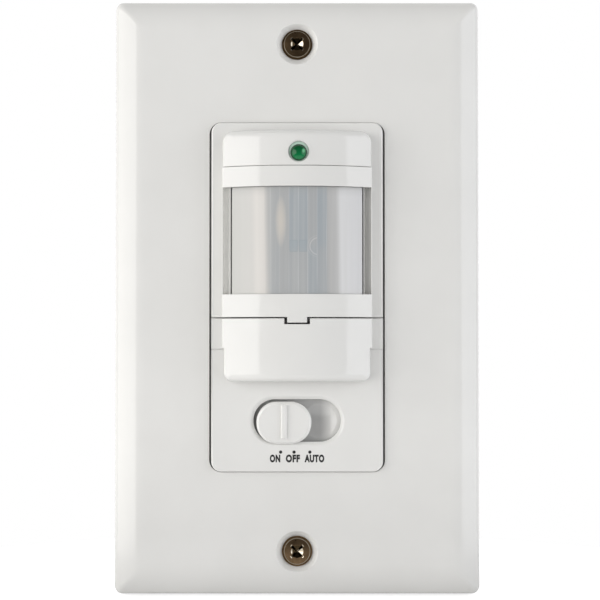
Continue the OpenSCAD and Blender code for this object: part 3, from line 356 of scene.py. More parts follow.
class Finish(Nodes):
    """A material with its shader, and the parts that its colour, gloss and skin are made of."""

    def __init__(self, name, rough, metal=0.0, ior=1.5):
        self.material = bpy.data.materials.new(name)
        self.material.use_nodes = True
        super().__init__(self.material.node_tree)
        self.shader = self.tree.nodes["Principled BSDF"]
        socket(self.shader, "Roughness", rough)
        socket(self.shader, "Metallic", metal)
        socket(self.shader, "IOR", ior)
        self.place = self.add("ShaderNodeTexCoord").outputs["Object"]

    def axes(self):
        """The place as millimetres right, up and out."""
        split = self.add("ShaderNodeSeparateXYZ")
        self.join(self.place, split.inputs["Vector"])
        return [self.times(split.outputs[axis], way / MM) for axis, way in (("X", 1), ("Z", 1), ("Y", -1))]

    def stretched(self, scale):
        mapping = self.add("ShaderNodeMapping")
        socket(mapping, "Scale", scale)
        self.join(self.place, mapping.inputs["Vector"])
        return mapping.outputs["Vector"]

    def noise(self, scale, detail=3.0, along=None):
        node = self.add("ShaderNodeTexNoise")
        socket(node, "Scale", scale)
        socket(node, "Detail", detail)
        self.join(along or self.place, node.inputs["Vector"])
        return node.outputs["Fac"]

    def ramp(self, source, *stops):
        node = self.add("ShaderNodeValToRGB")
        band = node.color_ramp.elements
        while len(band) < len(stops):
            band.new(0.5)
        for element, (where, colour) in zip(band, stops):
            element.position = where
            element.color = (*colour, 1.0)
        self.join(source, node.inputs["Fac"])
        return node.outputs["Color"]

    def steps(self, source, *levels):
        """Grey levels in equal steps from 0 to 1."""
        grey = self.ramp(source, *((i / len(levels), (level,) * 3) for i, level in enumerate(levels)))
        grey.node.color_ramp.interpolation = "CONSTANT"
        return grey

    def mixed(self, amount, a, b):
        node = self.add("ShaderNodeMix", data_type="RGBA")
        for i, value in ((0, amount), (6, a), (7, b)):
            if isinstance(value, tuple):
                node.inputs[i].default_value = (*value, 1.0)
            else:
                self.join(value, node.inputs[i])
        return node.outputs[2]

    def flow(self, dark, light):
        """Faint marks of the flow of moulded plastic."""
        return self.ramp(self.noise(70, 4), (0.35, dark), (0.65, light))

    def colour(self, source):
        self.join(source, self.shader.inputs["Base Color"])

    def rough(self, source):
        self.join(source, self.shader.inputs["Roughness"])

    def bump(self, source, depth, strength):
        node = self.add("ShaderNodeBump")
        socket(node, "Strength", strength)
        socket(node, "Distance", depth)
        self.join(source, node.inputs["Height"])
        self.join(node.outputs["Normal"], self.shader.inputs["Normal"])

    def moulded(self, gloss, dull, grain=0.000012):
        """Uneven gloss and the very fine skin of moulded plastic."""
        self.rough(self.between(self.noise(900, 2), 0.3, 0.7, gloss, dull))
        self.bump(self.noise(5200, 2), grain, 0.35)
        return self.material


def moulded_plastic(name, dark, light, rough, ior=1.5, **skin):
    f = Finish(name, rough, ior=ior)
    f.colour(f.flow(dark, light))
    return f.moulded(rough * 0.8, rough * 1.25, **skin)


def rolled_metal(name, dark, light, rough, along=(1, 1, 30)):
    """Metal sheet or turned metal with drawn marks."""
    f = Finish(name, rough, metal=1.0)
    marks = f.noise(900, 5, f.stretched(along))
    f.colour(f.ramp(f.noise(240, 4), (0.3, dark), (0.7, light)))
    f.rough(f.between(marks, 0.3, 0.7, rough * 0.75, rough * 1.35))
    f.bump(marks, 0.00001, 0.3)
    return f.material


def knob_material():
    """The knob's white plastic, with painted shade on the skirt that runs behind the well, fading to white at
    its right end.
    """
    f = Finish("knob_white", 0.06, ior=WHITE_IOR)
    x, _, out = f.axes()
    white = f.flow(BEZEL_DARK, BEZEL_LIGHT)
    # Painted shade in the well: grey on the skirt beside the head, lightening to white towards its right end.
    painted_tone = f.ramp(f.noise(260, 4), (0.35, (0.50, 0.50, 0.495)), (0.65, (0.54, 0.54, 0.535)))
    skirt = f.mixed(f.between(x, 4.4, 6.6, 0, 1), painted_tone, (0.86, 0.857, 0.84))
    f.colour(f.mixed(f.between(out, 4.4, 4.7, 1, 0), white, skirt))
    return f.moulded(0.05, 0.09)


def frame_material():
    """The frame's white plastic, with painted light brightening its left channel and painted shade in the
    right one, darkest next to the lens.
    """
    f = Finish("frame_white", 0.055, ior=WHITE_IOR)
    x, _, out = f.axes()
    # Painted light brightens the floor of the left channel; painted shade darkens the right channel, most
    # next to the lens, mottled by noise.
    floor = f.maths("LESS_THAN", out, LIP_OUT - 0.15)
    left = f.times(floor, f.between(x, -LIP_IN - 0.2, -LIP_IN, 1, 0))
    right = f.times(floor, f.between(x, LIP_IN, LIP_IN + 0.2, 0, 1))
    right = f.times(right, f.between(x, 12.8, 14.1, 0.9, 0.05))
    shade_mottle = f.between(f.noise(500, 3), 0.3, 0.7, 0.8, 1.0)
    right_shaded = f.mixed(f.times(right, shade_mottle), f.flow(BEZEL_DARK, BEZEL_LIGHT), (0.55, 0.545, 0.53))
    # The whiter colour here is painted light in the left channel.
    f.colour(f.mixed(left, right_shaded, (0.95, 0.945, 0.92)))
    return f.moulded(0.044, 0.069)


def screw_material():
    """Dark plating on the screw heads, with painted shade in the recess, bright metal placed as painted
    glints beside the middle and at the slot ends, and a painted highlight ring along the edge of the dome.
    """
    f = Finish("screw_nickel", 0.3, metal=1.0)
    x, height, out = f.axes()
    up = f.maths("SUBTRACT", f.maths("ABSOLUTE", height), PLATE_SCREW_UP)
    off = f.oval(x, up)
    surface = f.maths("SUBTRACT", SCREW_TOP, f.times(off, 0.037))
    depth = f.maths("SUBTRACT", surface, out)
    recess = f.times(f.between(depth, 0.02, 0.06, 0, 1), f.maths("LESS_THAN", off, 3.6))
    recess = f.times(recess, f.maths("LESS_THAN", depth, 1.4))
    plating = f.ramp(f.noise(700, 4), (0.3, (0.14, 0.092, 0.050)), (0.7, (0.20, 0.133, 0.074)))
    painted_tone = f.ramp(f.noise(900, 3), (0.35, (0.62, 0.55, 0.43)), (0.65, (0.78, 0.71, 0.58)))
    # Painted glints: bright metal right and left of the middle, and at the ends of the slots.
    level = f.maths("ABSOLUTE", up)
    below = f.maths("SUBTRACT", level, f.times(x, 0.8))
    right = f.times(f.between(x, 0.03, 0.13, 0, 1), f.between(below, -0.08, 0.04, 1, 0))
    left = f.times(f.between(x, -0.98, -0.88, 1, 0), f.between(level, 0.3, 0.5, 0.8, 0))
    across = f.gap(f.maths("ABSOLUTE", x), level)
    ends = f.times(f.between(across, 0.25, 0.45, 1, 0), f.between(f.gap(off, 2.75), 0.35, 0.65, 0.9, 0))
    painted_glints = f.maths("MAXIMUM", f.maths("MAXIMUM", right, left), ends)
    # A painted highlight ring of bright metal round the edge of the dome.
    edge = f.times(f.between(f.gap(off, 6.05), 0.15, 0.35, 0.8, 0), f.maths("LESS_THAN", depth, 0.6))
    # Painted shade darkens the recess.
    shaded_plating = f.mixed(recess, plating, (0.06, 0.042, 0.022))
    f.colour(f.mixed(f.maths("MAXIMUM", f.times(recess, painted_glints), edge), shaded_plating, painted_tone))
    uneven = f.between(f.noise(900, 5), 0.3, 0.7, 0.27, 0.35)
    f.rough(f.maths("SUBTRACT", uneven, f.times(recess, 0.2)))
    f.bump(f.noise(1500, 4), 0.00001, 0.3)
    return f.material


def lens_material():
    """Milky lens film: flanks painted pale with painted highlight bands, a middle painted darker as shade
    from the hollow behind, and faint segments.
    """
    f = Finish("lens_film", 0.16, ior=1.52)
    x, up, _ = f.axes()
    streak = f.noise(900, 4, f.stretched((1, 1, 0.02)))
    slant = f.times(f.maths("SUBTRACT", up, 10.5), 0.02)
    across = f.maths("ADD", f.maths("ADD", x, slant), f.between(streak, 0.3, 0.7, -0.2, 0.2))
    # Painted light and shade across the film: pale flanks with a painted highlight band on each side, and a
    # middle darkened as painted shade of the hollow behind it.
    shade = f.ramp(f.between(across, -12.4, 12.4, 0, 1),
                   (0.0, (0.57, 0.57, 0.545)), (0.15, (0.62, 0.61, 0.585)), (0.20, (0.70, 0.675, 0.64)),
                   (0.25, (0.68, 0.655, 0.625)), (0.295, (0.455, 0.46, 0.46)), (0.70, (0.44, 0.45, 0.455)),
                   (0.74, (0.51, 0.51, 0.505)), (0.80, (0.55, 0.55, 0.545)), (0.83, (0.71, 0.71, 0.712)),
                   (1.0, (0.66, 0.66, 0.67)))
    # Six segments in the middle, each with its own tint above and below.
    from_start = f.maths("SUBTRACT", x, SEGMENT_START)
    lane = f.maths("ADD", f.maths("DIVIDE", from_start, SEGMENT), 100)
    within = f.gap(f.maths("FRACT", lane), 0.5)
    middle = f.maths("LESS_THAN", f.maths("ABSOLUTE", from_start), 5.35)
    row = f.between(from_start, -3 * SEGMENT, 3 * SEGMENT, 0, 1)
    above = f.steps(row, 0.20, 0.05, 0.75, 0.80, 0.12, 0.80)
    below = f.steps(row, 0.25, 0.08, 0.18, 0.15, 0.60, 0.40)
    tint = f.mixed(f.between(up, 8.2, 10.2, 0, 1), below, above)
    body = f.mixed(f.times(tint, middle), shade, (0.385, 0.425, 0.455))
    body = f.mixed(f.between(streak, 0.45, 0.7, 0.0, 0.30), body, (0.62, 0.62, 0.60))
    # Ridges between the segments, uneven along their length, and the two short cells.
    ridge = f.times(f.between(within, 0.43, 0.49, 0, 1), middle)
    uneven = f.between(f.noise(150, 2, f.stretched((1, 1, 0.5))), 0.4, 0.62, 0.15, 0.55)
    body = f.mixed(f.times(ridge, uneven), body, (0.64, 0.65, 0.65))
    cell_x = f.maths("LESS_THAN", f.maths("ABSOLUTE", from_start), SEGMENT)
    cell_up = f.maths("DIVIDE", f.maths("SUBTRACT", 1.15, f.gap(up, 9.4)), SEGMENT)
    cell_edge = f.maths("SMOOTH_MIN", f.maths("SUBTRACT", 0.46, within), cell_up, 0.12)
    in_cell = f.times(cell_x, f.between(cell_edge, 0.0, 0.05, 0, 1))
    cell_line = f.times(in_cell, f.between(cell_edge, 0.05, 0.12, 1, 0))
    body = f.mixed(f.times(in_cell, 0.5), body, (0.37, 0.425, 0.46))
    body = f.mixed(f.times(cell_line, 0.35), body, (0.30, 0.33, 0.35))
    # Rings of the segment to the right of the cells.
    away = f.maths("SQRT", f.oval(x, up, (3.97, 9.35)))
    inner = f.between(f.gap(away, 1.57), 0.03, 0.15, 0.55, 0.0)
    outer = f.between(f.gap(away, 2.0), 0.02, 0.10, 0.25, 0.0)
    lane_two = f.times(f.maths("GREATER_THAN", x, 1.95), f.maths("LESS_THAN", x, 3.7))
    body = f.mixed(f.times(lane_two, f.maths("MAXIMUM", inner, outer)), body, (0.66, 0.66, 0.65))
    # A warm blur where the sensor shows through, and a shade below the band.
    warm = f.oval(x, up, (-3.05, 14.0), (0.72, 3.2))
    body = f.mixed(f.between(warm, 0.0, 2.4, 0.7, 0.0), body, (0.70, 0.65, 0.58))
    body = f.mixed(f.between(up, 18.7, 20.1, 0.0, 0.25), body, (0.40, 0.40, 0.40))
    body = f.mixed(f.between(up, 19.9, 20.4, 0.0, 0.35), body, (0.36, 0.36, 0.35))
    f.colour(body)
    fine = f.noise(2600, 2, f.stretched((1, 1, 0.06)))
    f.rough(f.between(fine, 0.3, 0.7, 0.13, 0.2))
    f.bump(f.maths("ADD", f.times(fine, 0.6), f.times(ridge, 0.6)), 0.00002, 0.4)
    return f.material


def indicator_material():
    """Clear green resin with painted light and shade: painted shade at the top and towards its edge, painted
    light below where light gathers, and a painted glint on the right.
    """
    f = Finish("indicator_green", 0.06, ior=1.44)
    right, height, _ = f.axes()
    x = f.maths("SUBTRACT", right, LED_X)
    up = f.maths("SUBTRACT", height, LED_UP - DOME_DROP)
    # Painted light and shade: darker at the top, brighter below and to the right.
    lean = f.maths("ADD", f.times(x, 0.15), f.times(up, -0.6))
    cloud = f.times(f.noise(900, 2), 0.35)
    depth = f.ramp(f.between(f.maths("ADD", lean, cloud), -0.8, 1.1, 0, 1),
                   (0.0, (0.001, 0.05, 0.014)), (0.5, (0.002, 0.13, 0.038)), (1.0, (0.006, 0.25, 0.08)))
    # A painted glint on the right of the dome.
    far = f.oval(x, up, (0.92, 0.25), (0.34, 0.48))
    depth = f.mixed(f.between(far, 0.1, 1.1, 0.7, 0.0), depth, (0.16, 0.62, 0.30))
    # Painted shade darkens the dome towards its edge; beyond it lies the pale collar.
    off = f.maths("SQRT", f.oval(x, up))
    edge = f.mixed(f.between(off, 1.22, DOME_R - 0.06, 0.0, 0.92), depth, (0.001, 0.018, 0.007))
    f.colour(f.mixed(f.between(off, DOME_R, DOME_R + 0.05, 0.0, 1.0), edge, (0.50, 0.66, 0.56)))
    f.rough(f.between(f.noise(500, 2), 0.3, 0.7, 0.05, 0.10))
    return f.material


def board_material():
    """Circuit board: green mask over faint tracks."""
    f = Finish("board_mask", 0.35)
    weave = f.noise(1500, 4)
    f.colour(f.ramp(f.noise(420, 5), (0.38, (0.012, 0.075, 0.03)), (0.5, (0.02, 0.12, 0.05)),
                    (0.62, (0.03, 0.16, 0.07))))
    f.rough(f.between(weave, 0.3, 0.7, 0.28, 0.45))
    f.bump(weave, 0.00002, 0.4)
    return f.material


plate_white = moulded_plastic("plate_white", (0.805, 0.800, 0.778), (0.83, 0.825, 0.803), 0.10, WHITE_IOR)
bezel_white = moulded_plastic("bezel_white", BEZEL_DARK, BEZEL_LIGHT, 0.055, WHITE_IOR)
screw_nickel = screw_material()
zinc_steel = rolled_metal("zinc_steel", (0.50, 0.50, 0.49), (0.62, 0.62, 0.60), 0.32, (1, 30, 1))
rear_charcoal = moulded_plastic("rear_charcoal", (0.030, 0.031, 0.033), (0.045, 0.046, 0.048), 0.42,
                                grain=0.00004)
contact_brass = rolled_metal("contact_brass", (0.60, 0.42, 0.16), (0.72, 0.53, 0.24), 0.26)
ground_green = rolled_metal("ground_green", (0.02, 0.20, 0.06), (0.04, 0.30, 0.10), 0.3)
sensor_can = rolled_metal("sensor_can", (0.62, 0.62, 0.60), (0.74, 0.74, 0.72), 0.24)
sensor_filter = moulded_plastic("sensor_filter", (0.020, 0.022, 0.026), (0.04, 0.04, 0.05), 0.12)
cell_amber = moulded_plastic("cell_amber", (0.42, 0.20, 0.05), (0.55, 0.30, 0.10), 0.3)
part_black = moulded_plastic("part_black", (0.018, 0.018, 0.02), (0.03, 0.03, 0.032), 0.4)
part_blue = moulded_plastic("part_blue", (0.03, 0.09, 0.30), (0.05, 0.13, 0.40), 0.35)
part_yellow = moulded_plastic("part_yellow", (0.62, 0.42, 0.03), (0.72, 0.52, 0.06), 0.35)
part_tan = moulded_plastic("part_tan", (0.42, 0.30, 0.18), (0.52, 0.38, 0.24), 0.45)
dial_ivory = moulded_plastic("dial_ivory", (0.66, 0.36, 0.10), (0.74, 0.42, 0.14), 0.35)
knob_white = knob_material()
frame_white = frame_material()
board_green = board_material()
lens_film = lens_material()
indicator_green = indicator_material()
print_ink = moulded_plastic("print_ink", (0.010, 0.010, 0.011), (0.02, 0.02, 0.02), 0.5)


# Geometry node trees


def node_tree(name, inputs):
    """A tree with named inputs, and helpers to add and join its nodes."""
    tree = bpy.data.node_groups.new(name, "GeometryNodeTree")
    for label, kind, value in inputs:
        entry = tree.interface.new_socket(label, in_out="INPUT", socket_type=kind)
        if value is not None:
            entry.default_value = value
    tree.interface.new_socket("Geometry", in_out="OUTPUT", socket_type="NodeSocketGeometry")
    start, end = tree.nodes.new("NodeGroupInput"), tree.nodes.new("NodeGroupOutput")

    def add(kind, links=(), **settings):
        node = tree.nodes.new(kind)
        for key, value in settings.items():
            setattr(node, key, value)
        for key, value in links:
            if isinstance(value, bpy.types.NodeSocket):
                tree.links.new(value, node.inputs[key])
            else:
                node.inputs[key].default_value = value
        return node

    def close(geometry, material):
        real = add("GeometryNodeRealizeInstances", [("Geometry", geometry)]).outputs["Geometry"]
        done = add("GeometryNodeSetMaterial", [("Geometry", real), ("Material", material)])
        tree.links.new(done.outputs["Geometry"], end.inputs["Geometry"])

    return tree, start.outputs, add, close


def grown(name, tree, values):
    """Runs a tree with the values of its inputs and keeps the result as a plain mesh."""
    piece = new_piece(name, bpy.data.meshes.new(name))
    run = piece.modifiers.new("grown", "NODES")
    run.node_group = tree
    for item in tree.interface.items_tree:
        if item.in_out == "INPUT" and item.name in values:
            run[item.identifier] = values[item.name]
    return settle(piece)


def set_out_tree(material):
    """Repeats a piece at the corners of a rectangle of rows and columns."""
    tree, given, add, close = node_tree("set_out", [
        ("Piece", "NodeSocketObject", None), ("Columns", "NodeSocketInt", 1), ("Rows", "NodeSocketInt", 2),
        ("Across", "NodeSocketFloat", 0.0), ("Upright", "NodeSocketFloat", 0.1)])

    def line(count, axis, step):
        offset = add("ShaderNodeCombineXYZ", [(axis, given[step])]).outputs[0]
        made = add("GeometryNodeMeshLine", [("Count", given[count]), ("Offset", offset)], mode="OFFSET")
        return made.outputs["Mesh"]

    def copies(points, shape):
        made = add("GeometryNodeInstanceOnPoints", [("Points", points), ("Instance", shape)])
        return made.outputs["Instances"]

    rows = copies(line("Columns", "X", "Across"), line("Rows", "Z", "Upright"))
    marks = add("GeometryNodeRealizeInstances", [("Geometry", rows)]).outputs["Geometry"]
    shape = add("GeometryNodeObjectInfo", [("Object", given["Piece"])], transform_space="ORIGINAL")
    close(copies(marks, shape.outputs["Geometry"]), material)
    return tree


def set_out(name, piece, material, columns, rows, across, upright):
    made = grown(name, set_out_tree(material), {"Piece": piece, "Columns": columns, "Rows": rows,
                                                "Across": across * MM, "Upright": upright * MM})
    mesh = piece.data
    bpy.data.objects.remove(piece)
    bpy.data.meshes.remove(mesh)
    return made


def lens_tree(material, sizes):
    """The lens: a sheet bent over an arc with upright skirts, grooved between its segments, then given its
    wall."""
    tree, given, add, close = node_tree("lens_sheet", [
        (label, "NodeSocketFloat", size * MM) for label, size in sizes.items()])

    def maths(way, a, b=0.0):
        return add("ShaderNodeMath", [(0, a), (1, b)], operation=way).outputs[0]

    def on_arc(turn):
        level = maths("MULTIPLY", given["Radius"], maths("COSINE", turn))
        return maths("ADD", maths("SUBTRACT", given["Front"], given["Radius"]), level)

    turn = maths("ARCSINE", maths("DIVIDE", given["Half width"], given["Radius"]))
    half_arc = maths("MULTIPLY", turn, given["Radius"])
    half_length = maths("ADD", half_arc, maths("SUBTRACT", on_arc(turn), given["Skirt foot"]))
    height = maths("SUBTRACT", given["High"], given["Low"])
    sheet = add("GeometryNodeMeshGrid", [("Size X", maths("MULTIPLY", half_length, 2.0)), ("Size Y", height),
                                         ("Vertices X", 281), ("Vertices Y", 61)])
    at = add("ShaderNodeSeparateXYZ", [(0, add("GeometryNodeInputPosition").outputs[0])])
    along = maths("ABSOLUTE", at.outputs["X"])
    side = maths("SIGN", at.outputs["X"])
    bend = maths("DIVIDE", maths("MINIMUM", along, half_arc), given["Radius"])
    x = maths("MULTIPLY", side, maths("MULTIPLY", given["Radius"], maths("SINE", bend)))
    out = maths("SUBTRACT", on_arc(bend), maths("MAXIMUM", maths("SUBTRACT", along, half_arc), 0.0))
    # A groove between each two segments of the middle.
    lane = maths("DIVIDE", maths("SUBTRACT", x, given["Segment start"]), given["Segment"])
    lane = maths("FRACT", maths("ADD", lane, 100.5))
    to_edge = maths("SUBTRACT", 0.5, maths("ABSOLUTE", maths("SUBTRACT", lane, 0.5)))
    groove = maths("SUBTRACT", 1.0, maths("MINIMUM", maths("MULTIPLY", to_edge, 9.0), 1.0))
    in_middle = maths("LESS_THAN", maths("ABSOLUTE", x), given["Grooves half"])
    out = maths("SUBTRACT", out, maths("MULTIPLY", maths("MULTIPLY", groove, in_middle), given["Groove"]))
    up = maths("ADD", at.outputs["Y"], maths("MULTIPLY", maths("ADD", given["High"], given["Low"]), 0.5))
    place = add("ShaderNodeCombineXYZ", [("X", x), ("Y", maths("MULTIPLY", out, -1.0)), ("Z", up)])
    bent = add("GeometryNodeSetPosition", [
        ("Geometry", sheet.outputs["Mesh"]), ("Position", place.outputs[0])]).outputs["Geometry"]
    back = add("GeometryNodeFlipFaces", [("Mesh", bent)]).outputs["Mesh"]
    wall = add("GeometryNodeExtrudeMesh", [
        ("Mesh", back), ("Offset Scale", given["Wall"]), ("Individual", False)]).outputs["Mesh"]
    both = add("GeometryNodeJoinGeometry")
    for sheet_part in (bent, wall):
        tree.links.new(sheet_part, both.inputs[0])
    closed = add("GeometryNodeMergeByDistance", [
        ("Geometry", both.outputs["Geometry"]), ("Distance", CAD_SEAM)]).outputs["Geometry"]
    close(closed, material)
    return tree


# Cover plate and its screws


def cover_plate():
    # Inset and height up the side, then round the edge.
    steps = [(0.1, 0.0), (0.0, 0.12), (0.40, 3.05), (0.46, 3.36), (0.55, 3.60)]
    start = math.asin(EDGE_W / EDGE_R) - math.radians(2.2)
    for k in range(EDGE_STEPS + 1):
        a = start * (1 - k / EDGE_STEPS)
        steps.append((SIDE_LEAN + EDGE_W - EDGE_R * math.sin(a), PLATE_FACE - EDGE_R * (1 - math.cos(a))))
    plate = tapered([(PLATE_W - 2 * inset, PLATE_H - 2 * inset, max(PLATE_CORNER - 0.5 * inset, 0.6), out)
                     for inset, out in steps])
    hollow = rounded(PLATE_W - 2 * HOLLOW_RIM, PLATE_H - 2 * HOLLOW_RIM, PLATE_CORNER)
    carve(plate, slab(hollow, -1, HOLLOW_OUT))
    # The opening, a hair wider at the face.
    wider = OPENING_EASE + 0.06
    flare = [(0.0, -1.0), (0.0, PLATE_FACE - OPENING_EASE), (0.03, PLATE_FACE - 0.03),
             (wider, PLATE_FACE + 0.06), (wider, PLATE_FACE + 1)]
    carve(plate, tapered([(OPENING_W + 2 * w, OPENING_H + 2 * w, OPENING_R + w, out) for w, out in flare]))
    sink = [(2.05, -1.0), (2.05, 3.81), (3.80, 5.83), (3.90, 5.93), (4.10, 6.1), (4.10, 7.0)]
    for s in (-1, 1):
        carve(plate, lathe(sink, 0, s * PLATE_SCREW_UP, 72))
    hand_over(plate, "cover_plate", plate_white, ["wall_plate"])


def threaded_shank(low, high, crest, root, pitch, up):
    """A screw thread about an axis at up: each ring of points rises and falls once in a turn, a little later
    than the ring before it."""
    steps, rings = 48, []
    count = int((high - low) / (pitch / 10))
    for j in range(count + 1):
        out = low + (high - low) * j / count
        point = min(1.0, (out - low) / pitch + 0.45)
        ring = []
        for k, (a, b) in enumerate(circle(1.0, steps)):
            phase = (out / pitch - k / steps) % 1.0
            r = (root + (crest - root) * min(1.0, 1.35 * (1 - abs(2 * phase - 1)))) * point
            ring.append(spot(r * a, up + r * b, out))
        rings.append(ring)
    return loft(rings)


def plate_screw():
    """An oval head screw at the lower hole of the plate."""
    axis = -PLATE_SCREW_UP
    dome = [(2.44 * (1 - k / 12), 5.50 + 0.22 * (1 - (1 - k / 12) ** 2)) for k in range(12)]
    profile = [(1.42, 2.2), (1.42, 3.09), (2.84, 4.74), (2.90, 4.80), (2.90, 4.92), (2.84, 4.98),
               (2.66, 4.98), (2.58, 5.06), (2.50, 5.40)]
    screw = lathe(profile + dome + [(0.02, SCREW_TOP)], 0, axis)
    carve(screw, threaded_shank(SCREW_POINT, 2.9, THREAD_R, THREAD_ROOT, THREAD_PITCH, axis), "UNION")
    recess = [(0.05, 5.22), (0.17, 5.23), (0.95, 5.506), (1.32, SCREW_TOP), (1.32, 6.4)]
    carve(screw, lathe(recess, 0, axis, 48))
    # Half length, half width and height of the two crossing slots.
    slot = [(0.45, 0.08, 4.45), (1.05, 0.14, 5.05), (1.40, 0.19, 5.42), (1.80, 0.27, 5.70), (1.80, 0.27, 6.3)]
    for turn in (45, 135):
        t = Matrix.Rotation(math.radians(turn), 2)
        rings = []
        for half_l, half_w, out in slot:
            corners = [t @ Vector((i * half_l, j * half_w)) for i, j in ((1, -1), (1, 1), (-1, 1), (-1, -1))]
            rings.append([spot(c.x, c.y + axis, out) for c in corners])
        carve(screw, loft(rings))
    return screw


def plate_screws():
    pair = set_out("plate_screw_pair", plate_screw(), screw_nickel, 1, 2, 0, 2 * PLATE_SCREW_UP)
    hand_over(pair, "plate_screw_pair", screw_nickel, ["plate_screws"], sharp=28)


# Bezel, sensor head and door


def front_bezel():
    # The face's outer edge, and the mouth of the knob's well.
    def rim(a, b):
        return all(abs(p[2] - BEZEL_FACE) < 0.02 and (abs(p[0]) > 16.2 or abs(p[1]) > 32.9
                   or (abs(p[0]) > 14.3 and abs(p[1]) > 31.0)) for p in (a, b))

    def well(a, b):
        return all(abs(p[2] - BEZEL_FACE) < 0.02 and abs(p[0]) < 9.1 and -28.6 < p[1] < -18.5 for p in (a, b))

    piece = eased("front_bezel", [(0.36, 5, rim), (0.22, 3, well)])
    hand_over(piece, "front_bezel_face", bezel_white, ["front_bezel"], sharp=40)


def sensor_cap():
    corners = [(-CAP_HALF, CAP_LOW, 0, PARTING_EASE), (CAP_HALF, CAP_LOW, 0, SIDE_EASE),
               (CAP_HALF, CAP_HIGH, CAP_CORNER, 1.5), (-CAP_HALF, CAP_HIGH, CAP_CORNER, SIDE_EASE)]
    cap = pillow(moulded_rim([(*corner, BEZEL_FACE) for corner in corners]), HEAD_FRONT, HEAD_R, (0, 27.4))
    carve(cap, arch_bar(CAP_HALF - HEAD_WALL, CAP_LOW + HEAD_WALL, CAP_HIGH - 1.5, 6,
                        HEAD_FRONT - HEAD_WALL, HEAD_R - HEAD_WALL))
    hole = [(2.05, 6.0), (2.05, 9.25), (1.65, 9.25), (1.65, 12.1)]
    mouth = [(0.02, 12.1), (0.02, 12.74), (0.06, 12.86), (0.20, 12.97)]
    hole += [(COLLAR_R + wider, out) for wider, out in mouth] + [(2.4, 13.2), (2.4, 14.5)]
    carve(cap, lathe(hole, LED_X, LED_UP))
    hand_over(cap, "sensor_cap_shell", bezel_white, ["sensor_cap"])


def lens_frame():
    beyond = HEAD_HALF + 0.05

    def upright(a, b):
        return abs(a[1] - b[1]) > 1

    def side(a, b):
        return upright(a, b) and all(abs(abs(p[0]) - HEAD_HALF) < 0.02 and p[2] > 9.3 for p in (a, b))

    def fronts(a, b):
        level = abs(a[1] - b[1]) < 0.01
        return level and all(p[2] > arch_out(p[0], BAND_FRONT, HEAD_R) - 0.05 and abs(p[0]) < beyond
                             for p in (a, b))

    def lip(a, b):
        return upright(a, b) and all(abs(p[2] - LIP_OUT) < 0.03 and LIP_IN < abs(p[0]) < beyond
                                     for p in (a, b))

    piece = eased("lens_frame", [(0.4, 4, side), (0.13, 3, fronts), (0.05, 2, lip)])
    hand_over(piece, "lens_surround", frame_white, ["lens_frame"])


def sensor_lens():
    sizes = {"Half width": LENS_HALF, "Front": LENS_FRONT, "Radius": LENS_R, "Low": LENS_LOW,
             "High": LENS_HIGH, "Skirt foot": 4.5, "Wall": 0.9, "Segment": SEGMENT,
             "Segment start": SEGMENT_START, "Grooves half": 5.7, "Groove": 0.02}
    tree = lens_tree(lens_film, sizes)
    piece = grown("lens_sheet", tree, {label: size * MM for label, size in sizes.items()})
    hand_over(piece, "lens_sheet", lens_film, ["sensor_lens"])


def indicator():
    profile = [(1.5, 8.3), (1.9, 8.35), (1.9, 9.05), (1.6, 9.1), (1.6, 12.15), (COLLAR_R, 12.15),
               (COLLAR_R, 12.62), (COLLAR_R - 0.1, 12.72), (1.2, 12.74), (0.02, 12.74)]
    piece = lathe(profile, LED_X, LED_UP)
    turns = [math.radians(a) for a in range(0, 90, 5)]
    dome = [(DOME_R, 12.4)] + [(DOME_R * math.cos(a), 12.5 + 1.4 * math.sin(a)) for a in turns]
    carve(piece, lathe(dome + [(0.02, 13.9)], LED_X, LED_UP - DOME_DROP), "UNION")
    hand_over(piece, "indicator_dome", indicator_green, ["status_led"])


def adjuster_door():
    side, step = SIDE_EASE, 0.12
    corners = [(-DOOR_HALF, DOOR_LOW, 1.5, 1.45, DOOR_FOOT), (DOOR_HALF, DOOR_LOW, 1.5, side, DOOR_FOOT),
               (DOOR_HALF, EARS_LOW, 0, step, DOOR_FOOT), (DOOR_EDGE, EARS_LOW, 0, side, EARS_FOOT),
               (DOOR_EDGE, DOOR_HIGH, 0, step, EARS_FOOT), (-DOOR_EDGE, DOOR_HIGH, 0, side, EARS_FOOT),
               (-DOOR_EDGE, EARS_LOW, 0, step, DOOR_FOOT), (-DOOR_HALF, EARS_LOW, 0, side, DOOR_FOOT)]
    door = pillow(moulded_rim(corners), HEAD_FRONT, HEAD_R, (0, -9.0),
                  lambda p: 0.75 if p.y < DOOR_LOW + 0.1 else 0.0)
    carve(door, box(-EARS_HALF, EARS_HALF, EARS_LOW - 0.17, DOOR_HIGH, 5.8, BEZEL_FACE), "UNION")
    carve(door, arch_bar(12.5, DOOR_LOW + 1.6, DOOR_HIGH + 1, 4.8,
                         HEAD_FRONT - HEAD_WALL, HEAD_R - HEAD_WALL))
    carve(door, box(-2.4, 2.4, DOOR_HIGH - 1.1, DOOR_HIGH + 1, BEZEL_FACE, 15))
    # The upper edge is cut to the sweep about the hinge.
    sweep = DOOR_HIGH - HINGE_UP + 0.05
    line = [(DOOR_HIGH - 1.2, 4.0), (DOOR_HIGH + 1.2, 4.0), (DOOR_HIGH + 1.2, 7.0)]
    for k in range(SWEEP_STEPS + 1):
        a = math.radians(-5.2 - 16 * k / SWEEP_STEPS)
        line.append((HINGE_UP + sweep * math.cos(a), HINGE_OUT + sweep * math.sin(a)))
    carve(door, loft([[spot(x, u, out) for u, out in line] for x in (-17, 17)]))
    for x in (-HINGE_X, HINGE_X):
        carve(door, box(x - 1.3, x + 1.3, -17, -13.4, BEZEL_FACE, 9.02))
        carve(door, rod(x - 2.7, x + 2.7, HINGE_UP, HINGE_OUT, HINGE_PIN_R))
    hand_over(door, "adjuster_door_shell", bezel_white, ["adjuster_door"], "adjuster_door")


# Slide knob, dials and printed marks


